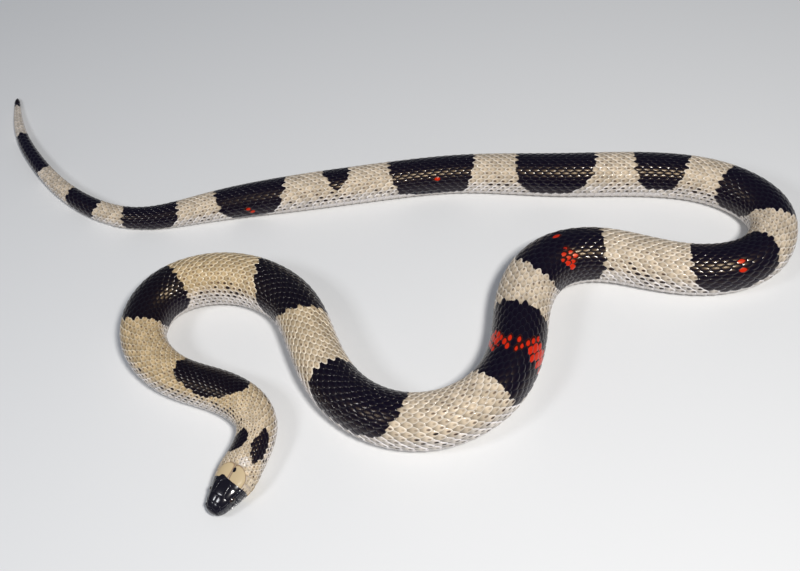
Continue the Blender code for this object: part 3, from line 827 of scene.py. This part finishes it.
def addPads(name, material, points, fields, around, places, rimFrom, strips):
    # points: pads x vertices x 3. places: place and arc of each pad's middle. Faces from the ring rimFrom
    # on are rim; rim and middle are two small patches at the pad's place on the unwrapped skin
    total, each = points.shape[:2]
    rings = (each - 2) // around
    pattern = padFaces(rings, around)
    start, end = places[:, 0].min() - 1, places[:, 0].max() + 1
    roots = unwrapped(places[:, 0], places[:, 1], start, end, strips)
    radii = overRings(0, np.linspace(*padChart["rings"], rings), 0, around) * padChart["size"]
    turns = np.concatenate(([0], np.tile(turnsOf(around), rings), [0]))
    patch = np.stack([radii * np.cos(turns), radii * np.sin(turns)], 1)
    corner = []
    for face in pattern:
        isRim = (max(face) - 1) // around >= rimFrom
        shift = padChart["shift"] if isRim else -padChart["shift"]
        corner += [(patch[v][0] + shift, patch[v][1]) for v in face]
    uv = roots[:, None, :] + np.array(corner)[None]
    faces = [tuple(v + n * each for v in face) for n in range(total) for face in pattern]
    return addMesh(name, points, faces, material, fields, uv.reshape(-1, 2))


# Scales of the back and flanks: rows along the body, every second one shifted by half a scale
scalePlan = {
    "start": 15.6,
    "pitch": ((16, 1.8), (22, 2.0), (43, 2.3), (95, 3.0), (150, 3.35), (220, 3.55), (290, 4.05),
              (400, 3.9), (500, 3.6), (560, 3.7), (640, 3.65), (700, 3.45), (764, 3.1), (800, 3.1),
              (850, 2.9), (890, 2.3)),
    "rows": ((16, 19), (60, 19), (130, 21), (520, 21), (600, 19), (700, 17.6), (764, 15), (800, 11),
             (850, 7), (890, 5)),
    # share of the way round at which the wide belly scales begin
    "edge": ((16, 0.62), (26, 0.57), (45, 0.56), (100, 0.585), (150, 0.60), (700, 0.60), (764, 0.63),
             (800, 0.68), (890, 0.72)),
    # width of the rows at the middle of the back, compared with their mean
    "middleRow": ((16, 0.86), (30, 0.80), (50, 0.80), (120, 0.88), (890, 0.90)),
    # behind the snout at which the small scales begin, by the degrees from the middle of the crown
    "headEnd": ((0, 18.3), (8, 18.8), (21, 18.5), (36, 17.3), (46, 16.9), (60, 17.0), (90, 17.2),
                (130, 16.5), (180, 16.5)),
    "mostRows": 11, "lowRows": 1.6, "rowMargin": 0.25, "uneven": (0.0175, 0.02), "unevenHeight": 0.012,
    "halfLong": 0.64, "halfWide": 0.80, "lowestWider": 1.12,
    "frontPower": 2.2, "rearPower": 1.55,
    "rings": (0.45, 0.78, 0.92, 1.0, 0.96), "ranks": (0.45, 0.78, 0.92, 1.0, 1.0), "around": 16,
    "rimFrom": 2, "strips": 3, "ends": (0.5, 0.2),
    # heights: front and rear end, rise of the middle, drop of the rings, depth of what lies below
    "front": -0.342, "rear": 0.11, "dome": 0.19, "drops": (0, 0, 0.0165, 0.11, 0), "under": -0.55,
    "fullPitch": 3.7, "stretch": (0.5, 1.6), "sizePower": 0.6, "thinAbove": 1.2, "thinBelow": 2.2,
    "pull": 0.36, "redPull": 0.12, "speckle": (0.3, 0.8), "fleck": 1.1, "tipGap": 2.6,
    "pieces": (("scales_neck", 130), ("scales_fore", 262), ("scales_middle", 392),
               ("scales_hind", 530), ("scales_rear", 700), ("scales_tail", 1000)),
}


def ringPlaces():
    places = [scalePlan["start"]]
    while places[-1] < bodyLength - scalePlan["tipGap"]:
        places.append(places[-1] + float(planAt(scalePlan, "pitch", places[-1])))
    return np.array(places)


# small scales of the throat, between the chin, the lips and the first wide belly scale
throatPlan = {"from": 8.2, "to": 20.4, "pitch": 1.6, "spacing": 1.45, "chinEnd": 11.6, "chinAngle": 147,
              "lip": (31, 60), "lipEnd": 16.8, "bellyEdge": 0.64, "gap": 0.3, "most": 8}


def throatLattice():
    plan, found = throatPlan, []
    pitch, spacing = plan["pitch"], plan["spacing"]
    for i, place in enumerate(np.arange(plan["from"], plan["to"], pitch / 2)):
        total = float(halfRound(place))
        lip = mouthAngle(place) + plan["lip"][0] + plan["lip"][1] / halfWidth(place)
        limit = arcAt(place, lip) if place < plan["lipEnd"] else plan["bellyEdge"] * total
        chin = total - arcAt(place, plan["chinAngle"]) if place < plan["chinEnd"] else 0
        for k in range(plan["most"]):
            away = (k + (0.5 if i % 2 else 1.0)) * spacing
            if chin < away < total - limit - plan["gap"]:
                found += [(place, arc, pitch, spacing, 0) for arc in (total - away, away - total)]
    return np.array(found)


def scaleLattice():
    # place, arc, pitch along the body, spacing round it, and how near the lowest row each scale is
    plan, found = scalePlan, []
    for place in ringPlaces():
        pitch, rows, edge, narrow = [float(planAt(plan, name, place))
                                     for name in ("pitch", "rows", "edge", "middleRow")]
        edge *= float(halfRound(place))
        for row in range(-plan["mostRows"], plan["mostRows"] + 1):
            if abs(row) > rows / 2 - plan["rowMargin"]:
                continue
            s = place + (pitch / 2 if row % 2 else 0)
            out = row / (rows / 2)
            arc = edge * out * (narrow + (1 - narrow) * abs(out))
            spacing = edge / (rows / 2) * (narrow + 2 * (1 - narrow) * abs(out))
            low = max(abs(row) - (rows / 2 - plan["lowRows"]), 0) / plan["lowRows"]
            found.append((s, arc, pitch, spacing, low))
    found = np.array(found)
    for i, uneven in enumerate(plan["uneven"]):
        found[:, i] += rng.normal(0, uneven, len(found)) * found[:, i + 2]
    keep = found[:, 0] < bodyLength - plan["tipGap"]
    degrees = np.interp(found[:, 1] / halfRound(found[:, 0]), (-1, 1), (-180, 180))
    keep &= found[:, 0] > planAt(plan, "headEnd", np.abs(degrees))
    return np.concatenate((found[keep], throatLattice()))


def makeScales():
    plan = scalePlan
    around = plan["around"]
    s0, arc0, pitch, spacing, low = scaleLattice().T
    # outline of one scale, round in front and pointed behind
    turn = turnsOf(around)
    power = np.where(np.cos(turn) > 0, plan["rearPower"], plan["frontPower"])
    radius = (np.abs(np.cos(turn)) ** power + np.abs(np.sin(turn)) ** power) ** (-1 / power)
    ring = np.array(plan["rings"])[:, None]
    along, across = [np.concatenate(([0], (ring * (radius * way(turn))[None]).ravel(), [0]))
                     for way in (np.cos, np.sin)]
    rank = overRings(0, plan["ranks"], 1, around)
    longStep = np.linalg.norm(slopesOf(onBack, s0, arc0, "pitch")[0], axis=-1)
    halfLong = plan["halfLong"] * pitch / np.clip(longStep, *plan["stretch"]) ** plan["sizePower"]
    halfWide = plan["halfWide"] * spacing * (1 + (plan["lowestWider"] - 1) * low)
    s = s0[:, None] + along[None] * halfLong[:, None]
    arc = arc0[:, None] + across[None] * halfWide[:, None]
    # height over the surface, lower in front, domed and dropping at the rim
    size = (pitch / plan["fullPitch"])[:, None] ** plan["sizePower"]
    profile = plan["front"] + (plan["rear"] - plan["front"]) * (along + 1) / 2
    profile += plan["dome"] * (1 - rank ** 3) - overRings(0, plan["drops"], 0, around)
    height = profile[None] * size
    height[:, -1 - around:] = plan["under"] * (0.5 + 0.5 * size)
    height += rng.normal(0, plan["unevenHeight"], len(s0))[:, None] * size
    s = within(s, plan["ends"])
    point, normal = pointAndNormal(onBack, s, arc, "scale")
    thin = np.minimum(1, halfWidth(s) / np.where(height < 0, plan["thinBelow"], plan["thinAbove"]))
    point = point + normal * (height * thin)[..., None]

    def pulled(measure, share):
        # the edge of a marking is drawn towards whole scales
        places = [middle[:, None] + share * (at - middle[:, None]) for middle, at in ((s0, s), (arc0, arc))]
        return measure(*places)

    grain = rng.random(len(s0))
    least, more = plan["speckle"]
    spot = speckles(s0, arc0) * (least + more * rng.random(len(s0)))
    spot += plan["fleck"] * flecks(s0, arc0) * rng.random(len(s0))
    fields = {
        "dark": pulled(headField, plan["pull"]), "red": pulled(redField, plan["redPull"]),
        "spot": spot[:, None], "rank": rank[None], "along": along[None], "across": across[None],
        "flank": flankShare(s0, arc0)[:, None], "grain": grain[:, None]}
    start = 0
    for name, end in plan["pieces"]:
        chosen = (s0 >= start) & (s0 < end)
        part = {key: np.broadcast_to(values, s.shape)[chosen] for key, values in fields.items()}
        places = np.stack([s0, arc0], 1)[chosen]
        addPads(name, scaleMaterial, point[chosen], part, around, places, plan["rimFrom"],
                plan["strips"])
        print(name, int(chosen.sum()), "scales")
        start = end


makeScales()

# Horny point of the tail: places from the end of the body, size compared with the body at its front
spinePlan = {"places": (-4.2, -3.9, -3.2, -2.4, -1.6, -0.8, 0.0, 0.7, 1.2), "front": -4.0,
             "sizes": (0.8, 1.02, 1.0, 0.94, 0.85, 0.70, 0.50, 0.26, 0.08), "around": 24, "point": 1.4,
             "lift": 0.15, "rise": 0.3}
hornFields = {"dark": 3.0, "red": outside, "rank": 0.5}


def makeSpine():
    plan = spinePlan
    angles = np.linspace(-180, 180, plan["around"], endpoint=False)
    shape, power = sectionSizes(bodyLength + plan["front"])
    across, up = sectionPoint(shape, power, np.abs(angles))
    across, up = across * np.sign(angles), up - shape[2]
    turn = routeTurns[-1]
    points = []
    for place, size in zip((*plan["places"], plan["point"]), (*plan["sizes"], 0.0)):
        beyond = max(place, 0) * np.array([math.cos(turn), math.sin(turn), 0])
        at = np.full(len(angles) if size else 1, bodyLength + min(place, 0))
        lift = plan["lift"] + shape[2] * (plan["rise"] + (1 - plan["rise"]) * size)
        points.append(placed(at, size * across[:len(at)], lift + size * up[:len(at)]) + beyond)
    around, rings = plan["around"], len(plan["places"])
    last = rings * around
    faces = ringQuads(rings, around)
    faces += [(last - around + k, last - around + (k + 1) % around, last) for k in range(around)]
    addMesh("tail_spine", np.concatenate(points), faces, scaleMaterial, hornFields,
            onePatch(faces, 0.5))


makeSpine()

# Wide scales of the belly, one to each ring of the back's scales
bellyPlan = {"from": 19.5, "tipGap": 4.5, "long": 7, "wide": 25, "halfLong": 0.62, "overlap": 0.035,
             "sidePower": 7, "front": -0.30, "rise": 0.33, "endDrop": 0.10, "sideDrop": 0.25,
             "under": -0.5, "thin": 3.0, "darkShift": 1.2, "ends": (0.5, 0.3), "strips": 6,
             "patch": (0.0025, 0.05)}


def makeBelly():
    plan = bellyPlan
    places = ringPlaces()
    places = places[(places > plan["from"]) & (places < bodyLength - plan["tipGap"])]
    halfLong = plan["halfLong"] * planAt(scalePlan, "pitch", places)
    halfWide = (1 - planAt(scalePlan, "edge", places) + plan["overlap"]) * halfRound(places)
    # u runs along the body and v round it, over one scale
    u = np.linspace(-1, 1, plan["long"])[:, None]
    v = np.linspace(-1, 1, plan["wide"])[None, :]
    taper = np.sqrt(np.clip(1 - np.abs(v) ** plan["sidePower"], 0, 1))
    s = places[:, None, None] + u * taper * halfLong[:, None, None]
    arc = halfWide[:, None, None] * v + s * 0
    height = plan["front"] + plan["rise"] * (u + 1) / 2 - plan["endDrop"] * (np.abs(u) > 0.99)
    height = height - plan["sideDrop"] * (np.abs(v) > 0.99)
    s = within(s, plan["ends"])
    surface, normal = pointAndNormal(onBelly, s, arc, "scale")
    thin = np.minimum(1, halfWidth(s) / plan["thin"])
    outer, inner = [surface + normal * (rise * thin)[..., None] for rise in (height, plan["under"])]
    total, rows, columns = s.shape
    half = rows * columns
    grid = np.arange(half).reshape(rows, columns)
    faces = []
    for i in range(rows - 1):
        for j in range(columns - 1):
            a, b, c, d = grid[i, j], grid[i, j + 1], grid[i + 1, j + 1], grid[i + 1, j]
            faces += [(a, d, c, b), (a + half, b + half, c + half, d + half)]
    loop = [*grid[0, :], *grid[1:, -1], *grid[-1, -2::-1], *grid[-2:0:-1, 0]]
    faces += [(a, b, b + half, a + half) for a, b in zip(loop, loop[1:] + loop[:1])]

    def doubled(values):
        # the same on the outer and the inner side
        flat = values.reshape(total, half)
        return np.concatenate((flat, flat), 1)

    points = np.concatenate((outer.reshape(total, half, 3), inner.reshape(total, half, 3)), 1)
    whole = [tuple(int(v) + n * 2 * half for v in face) for n in range(total) for face in faces]
    backArc = np.sign(arc + 1e-9) * (halfRound(s) - np.abs(arc))
    rank = np.maximum(np.abs(u), np.abs(v)) + s * 0
    fields = {"dark": doubled(headField(s, backArc) - plan["darkShift"]), "red": outside, "spot": 0,
              "rank": doubled(rank), "along": 0, "across": 0, "flank": 1, "grain": 0.5}
    roots = unwrapped(places, places * 0, places[0] - 1, places[-1] + 1, plan["strips"])
    patch = np.stack(np.broadcast_arrays(u * plan["patch"][0], v * plan["patch"][1]), -1).reshape(-1, 2)
    corners = np.concatenate((patch, patch))[[v for face in faces for v in face]]
    uv = roots[:, None, :] + corners[None]
    addMesh("belly_scales", points, whole, scaleMaterial, fields, uv.reshape(-1, 2))


makeBelly()
print("belly ready")

# Plates of the head, each by its corners: behind the snout and degrees from the middle of the crown
platePlan = {
    "frontal": ((6.2, 21), (6.9, 20), (10.4, 15.5), (12.7, 0), (10.4, -15.5), (6.9, -20), (6.2, -21),
                (6.0, 0)),
    "pairs": {
        "internasal": ((1.15, 0.0), (1.05, 38), (3.0, 47), (3.0, 0)),
        "prefrontal": ((3.0, 0), (3.0, 51), (4.6, 59), (5.9, 55), (6.15, 22), (6.05, 0)),
        "supraocular": ((6.1, 22), (5.95, 50), (6.6, 57), (8.6, 56), (10.3, 51), (10.4, 16.5), (7.0, 20.5)),
        "parietal": ((12.65, 0), (10.45, 16), (10.4, 50), (12.5, 52), (15.0, 48), (17.1, 36), (18.4, 21),
                     (18.8, 8), (18.2, 0)),
        "nasalFront": ((0.9, 49), (1.65, 50), (1.65, 97), (1.0, 99)),
        "nasalRear": ((1.65, 50), (3.05, 50), (3.15, 62), (3.1, 92), (1.65, 97)),
        "loreal": ((3.15, 60), (5.0, 62), (5.0, 89.5), (3.15, 91.5)),
        "preocular": ((5.0, 60), (6.1, 57), (6.35, 61), (6.35, 80), (6.2, 86), (5.0, 89.5)),
        "postocularUpper": ((8.85, 56), (10.4, 51), (10.8, 68), (8.9, 70)),
        "postocularLower": ((8.9, 70), (10.8, 68), (10.9, 86), (8.7, 86)),
        "temporalUpper": ((10.5, 51), (12.4, 53), (14.0, 50), (14.1, 66), (10.9, 68)),
        "temporalLower": ((10.9, 68), (14.1, 66), (14.2, 84), (11.0, 86)),
        "temporalRearUpper": ((14.1, 50), (15.2, 48.5), (16.9, 42), (17.1, 56), (14.2, 60)),
        "temporalRearMiddle": ((14.2, 60), (17.1, 56), (17.3, 71), (14.3, 73)),
        "temporalRearLower": ((14.3, 73), (17.3, 71), (17.4, 86), (14.3, 87)),
        "chinFront": ((3.0, 176), (2.9, 150), (7.0, 148), (7.4, 176)),
        "chinRear": ((7.6, 176), (7.2, 150), (11.0, 152), (11.4, 176)),
    },
    "upperLip": (0.95, 2.6, 4.5, 6.4, 8.8, 11.4, 14.0, 16.3),
    "upperLipTops": (97, 92, 89.5, 86, 86, 86.5, 87, 88),
    "lowerLip": (1.0, 2.4, 3.9, 5.5, 7.4, 9.6, 12.0, 14.4, 16.6),
    "lowerLipDepth": (30, 60),
    "lipGap": 1.7,
    # plates in the middle of the snout: height and half width of their corners
    "snout": (((3.1, 1.6), (3.8, 2.1), (4.6, 2.15), (5.35, 1.65), (5.85, 0.6)),
              ((2.7, 1.3), (2.3, 1.35), (1.95, 0.6))),
    "snoutMiddle": 4.0, "snoutPlace": (0.4, 0.2),
    "seam": 0.035, "dome": 0.11, "fullDome": 2.5, "under": -0.45, "around": 64,
    "rings": (0.25, 0.5, 0.7, 0.84, 0.93, 0.975, 1.0, 0.99),
    "edges": (0, 0, 0, 0, -0.005, -0.02, -0.07, 0),
    "cornerCuts": (0.07, 0.22),
    # degrees between which a plate on the side turns pale, and where the pale plates get spots
    "paleFrom": (40, 60), "paleTo": (110, 90), "spotted": (0.45, 0.75), "spottedFrom": 12,
    "rankPower": 2.5, "along": (0.44, 0.9), "across": 0.78, "flank": 0.4,
}


def insetCorners(corners, gap):
    # corners moved in by the gap on each side, in a flat chart with equal units
    middle = corners.mean(0)
    following = np.roll(corners, -1, 0)
    side = following - corners
    side /= np.linalg.norm(side, axis=1, keepdims=True) + 1e-9
    inward = np.stack([-side[:, 1], side[:, 0]], 1)
    half = (corners + following) / 2
    inward *= np.sign(((middle - half) * inward).sum(1))[:, None]
    before, out = np.roll(inward, 1, 0), []
    for a, b, corner in zip(before, inward, corners):
        system = np.stack([a, b])
        if abs(np.linalg.det(system)) < 0.05:
            out.append(corner + gap * (a + b) / 2)
        else:
            out.append(corner + np.linalg.solve(system, (gap, gap)))
    return np.array(out)


def roundedOutline(corners, count):
    # corners cut twice, then even steps along the outline
    for share in platePlan["cornerCuts"]:
        following = np.roll(corners, -1, 0)
        corners = np.stack([corners * (1 - share) + following * share,
                            corners * share + following * (1 - share)], 1).reshape(-1, 2)
    closed = np.concatenate((corners, corners[:1]))
    lengths = lengthsAlong(closed)
    at = np.arange(count) / count * lengths[-1]
    return np.stack([np.interp(at, lengths, closed[:, i]) for i in (0, 1)], 1)


def makePlate(surface, corners, scale, bodyCentre=None):
    # corners in the chart of the surface, and millimetres for each of its units; gives the points,
    # their chart, the rank (0 in the middle, 1 at the rim) and the offset from the middle
    plan = platePlan
    around, ring = plan["around"], np.array(plan["rings"])
    outline = roundedOutline(insetCorners(np.array(corners, float) * scale, plan["seam"]), around)
    middle = outline.mean(0)
    chart = middle + ring[:, None, None] * (outline - middle)[None]
    chart = np.concatenate((middle[None], chart.reshape(-1, 2), middle[None]))
    offset = (chart - middle) / np.abs(outline - middle).max(0)
    chart = chart / scale
    dome = plan["dome"] * min(1.0, np.abs(outline - middle).max() / plan["fullDome"])
    height = overRings(0, plan["edges"], 0, around) + dome * (1 - overRings(0, ring, 1, around) ** 2)
    height[-1 - around:] = plan["under"]
    point, normal = pointAndNormal(surface, *chart.T, "plate", bodyCentre)
    rank = overRings(0, (*ring[:-1], 1), 1, around)
    return point + normal * height[:, None], chart, rank, offset


def lipLine(near, far, gap):
    # three corners beside the line of the mouth
    places = np.array([near, (near + far) / 2, far])
    return list(zip(places, mouthAngle(places) + gap))


def plateCharts():
    # corners of every plate apart from the two in the middle of the snout
    plan = platePlan
    pairs = list(plan["pairs"].values())
    for k, ends in enumerate(zip(plan["upperLip"], plan["upperLip"][1:])):
        tops = plan["upperLipTops"][k:k + 2]
        pairs.append([*zip(ends, tops), *lipLine(*ends, -plan["lipGap"])[::-1]])
    deep, narrow = plan["lowerLipDepth"]
    for ends in zip(plan["lowerLip"], plan["lowerLip"][1:]):
        line = lipLine(*ends, plan["lipGap"])
        pairs.append(line + [(place, angle + deep + narrow / halfWidth(place))
                             for place, angle in (line[2], line[0])])
    return [plan["frontal"]] + [[(place, side * angle) for place, angle in corners]
                                for corners in pairs for side in (1, -1)]


def makeHeadPlates():
    plan = platePlan
    points, places, allFields = [], [], []
    for corners in plateCharts():
        corners = np.array(corners, float)
        centre = corners.mean(0)
        step = np.linalg.norm(slopesOf(onHead, *centre, "degree")[1], axis=-1)
        point, chart, rank, offset = makePlate(onHead, corners, np.array([1.0, step]))
        arc = arcAt(chart[:, 0], chart[:, 1])
        place, angle = chart[0, 0], abs(chart[0, 1])
        pale = smoothStep(*plan["paleFrom"], angle) * smoothStep(*plan["paleTo"], angle)
        least, more = plan["spotted"]
        spotted = (least + more * rng.random()) * pale * (place > plan["spottedFrom"])
        points.append(point)
        places.append((place, arc[0]))
        dark = headField(chart[:, 0], arc)
        allFields.append(np.broadcast_arrays(dark, rank, rng.random(), pale, spotted, *offset.T))
    centre = plan["snoutMiddle"]
    snoutCentre = placed(centre, 0, centre)
    for rows in plan["snout"]:
        corners = [(half, up) for up, half in rows] + [(-half, up) for up, half in rows[::-1]]
        point, chart, rank, offset = makePlate(onSnout, corners, np.array([1.0, 1.0]), snoutCentre)
        points.append(point)
        places.append(plan["snoutPlace"])
        allFields.append(np.broadcast_arrays(3.0, rank, 0.5, 0.0, 0.0, *offset.T))
    dark, rank, grain, pale, spot, along, across = np.array(allFields).swapaxes(0, 1)
    # along puts the spot in the middle of a plate and gives its front part the same painted shade as the
    # scales
    shift, long = plan["along"]
    fields = {"dark": dark, "red": outside, "spot": spot, "rank": rank ** plan["rankPower"],
              "along": shift + long * along, "across": plan["across"] * across,
              "flank": plan["flank"] * pale, "grain": grain}
    addPads("head_plates", plateMaterial, np.array(points), fields, plan["around"],
            np.array(places), len(plan["rings"]), 1)


def turnedForm(centre, axis, radii, heights, around=40):
    # a small round form about an axis: radii and heights of its rings, from the outside in
    axis = np.asarray(axis) / np.linalg.norm(axis)
    first = np.cross(axis, (0.0, 0.0, 1.0))
    first /= np.linalg.norm(first)
    second = np.cross(axis, first)
    turn = turnsOf(around)
    ring = np.cos(turn)[:, None] * first + np.sin(turn)[:, None] * second
    points = [centre + radius * ring + height * axis for radius, height in zip(radii, heights)]
    return np.concatenate(points), ringQuads(len(radii), around)


def eyeAxis(side):
    return pointAndNormal(onHead, eyePlan["centre"][0], side * eyePlan["angle"], "face")[1]


def makeRims():
    # the ring of skin round each eye, and the nostrils
    tube = eyePlan["lidTube"]
    turn = np.linspace(0, 2 * math.pi, eyePlan["lidSteps"] + 1)
    place, angle = nostrilPlan["centre"]
    forms = []
    for side in (1, -1):
        axis = eyeAxis(side)
        forms.append((eyeMiddle(side) + axis * eyePlan["lidHeight"], axis,
                      eyePlan["lid"] + tube * np.cos(turn), tube * eyePlan["lidFlat"] * np.sin(turn)))
        forms.append((*pointAndNormal(onHead, place, side * angle, "face"),
                      nostrilPlan["radii"], nostrilPlan["heights"]))
    points, faces = [], []
    for form in forms:
        more, joined = turnedForm(*form)
        start = sum(map(len, points))
        faces += [tuple(v + start for v in face) for face in joined]
        points.append(more)
    addMesh("lids_and_nostrils", np.concatenate(points), faces, plateMaterial, hornFields,
            onePatch(faces, 0.45))


makeHeadPlates()
makeRims()
print("head plates ready")

# Eyes: fades are in radians from the middle of the gaze
eyeFinish = {
    "ball": {"u_segments": 48, "v_segments": 32},
    "iris": ((0.014, 0.006, 0.004, 1), (0.035, 0.013, 0.006, 1)), "irisNoise": (4000.0, 3.0),
    "pupil": (0.004, 0.003, 0.003, 1), "pupilFade": (0.50, 0.54),
    "rim": (0.01, 0.008, 0.008, 1), "rimFade": (0.92, 1.0),
    "shader": {"Roughness": 0.12, "Coat Weight": 0.6, "Coat Roughness": 0.02},
}


def makeEyeMaterial():
    plan = eyeFinish
    made, tree, shader = newMaterial("clearEye")
    gaze = field(tree, "gaze")
    iris = mixColours(tree, noiseOf(tree, *plan["irisNoise"]), *plan["iris"])
    colour = mixColours(tree, ramp(tree, gaze, *plan["pupilFade"]), plan["pupil"], iris)
    colour = mixColours(tree, ramp(tree, gaze, *plan["rimFade"]), colour, plan["rim"])
    feed(tree, shader, {"Base Color": colour, **plan["shader"]})
    return made


def makeEyes():
    material = makeEyeMaterial()
    for side, name in ((1, "eye_left"), (-1, "eye_right")):
        centre, gaze = Vector(eyeMiddle(side) * mm), Vector(eyeAxis(side))
        mesh = bpy.data.meshes.new(name + "_ball")
        ball = bmesh.new()
        bmesh.ops.create_uvsphere(ball, **eyeFinish["ball"], radius=eyePlan["radius"] * mm)
        ball.to_mesh(mesh)
        ball.free()
        mesh.transform(Matrix.Translation(centre) @ gaze.to_track_quat("Z", "Y").to_matrix().to_4x4())
        away = [math.acos(max(-1, min(1, (v.co - centre).normalized().dot(gaze)))) for v in mesh.vertices]
        addFields(mesh, {"gaze": away})
        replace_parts(addPiece(name + "_ball", mesh, material), name)


makeEyes()
print("eyes ready")

# Floor, lights and camera
stagePlan = {
    "floorHalf": 6.0, "floorDrop": 0.0001,
    "floor": {"Base Color": (0.76, 0.77, 0.78, 1), "Roughness": 0.7},
    "room": {"Color": (0.72, 0.82, 1.0, 1), "Strength": 0.15},
    # place, size, power, colour
    "lamps": {"key": ((0.17, -0.42, 0.62), 0.11, 4.8, (1.0, 0.97, 0.93)),
              "side": ((-0.50, -0.25, 0.56), 0.16, 1.25, (0.96, 0.97, 1.0))},
}


def makeStage():
    plan = stagePlan
    floorMesh = bpy.data.meshes.new("floor")
    half = plan["floorHalf"]
    floorMesh.from_pydata([(x * half, y * half, 0) for x, y in ((-1, -1), (1, -1), (1, 1), (-1, 1))],
                          [], [(0, 1, 2, 3)])
    floorObject = addObject("floor", floorMesh)
    floorObject.location.z = -plan["floorDrop"]
    paper, tree, shader = newMaterial("paleFloor")
    feed(tree, shader, plan["floor"])
    floorMesh.materials.append(paper)
    world = bpy.data.worlds.new("softRoom")
    world.use_nodes = True
    feed(world.node_tree, world.node_tree.nodes["Background"], plan["room"])
    bpy.context.scene.world = world
    bpy.context.scene.view_settings.view_transform = "Standard"
    for name, (place, size, power, tint) in plan["lamps"].items():
        light = bpy.data.lights.new(name, "AREA")
        light.size = size
        light.energy = power
        light.color = tint
        lamp = addObject(name, light)
        lamp.location = place
        lamp.rotation_euler = Vector(place).to_track_quat("Z", "Y").to_euler()


cameraPlan = {"elevation": 52, "turn": -8, "distance": 0.47323, "target": (6.63, -27.56, 0.0), "lens": 50,
              "sensor": 36, "nearest": 0.01}


def makeCamera():
    plan = cameraPlan
    lens = bpy.data.cameras.new("camera")
    lens.lens = plan["lens"]
    lens.sensor_width = plan["sensor"]
    lens.clip_start = plan["nearest"]
    camera = addObject("camera", lens)
    tilt = Matrix.Rotation(math.radians(90 - plan["elevation"]), 4, "X")
    look = tilt @ Matrix.Rotation(math.radians(plan["turn"]), 4, "Z")
    target = Vector(plan["target"]) * mm
    camera.matrix_world = Matrix.Translation(target + look @ Vector((0, 0, plan["distance"]))) @ look
    bpy.context.scene.camera = camera


makeStage()
makeCamera()
print("stage ready")
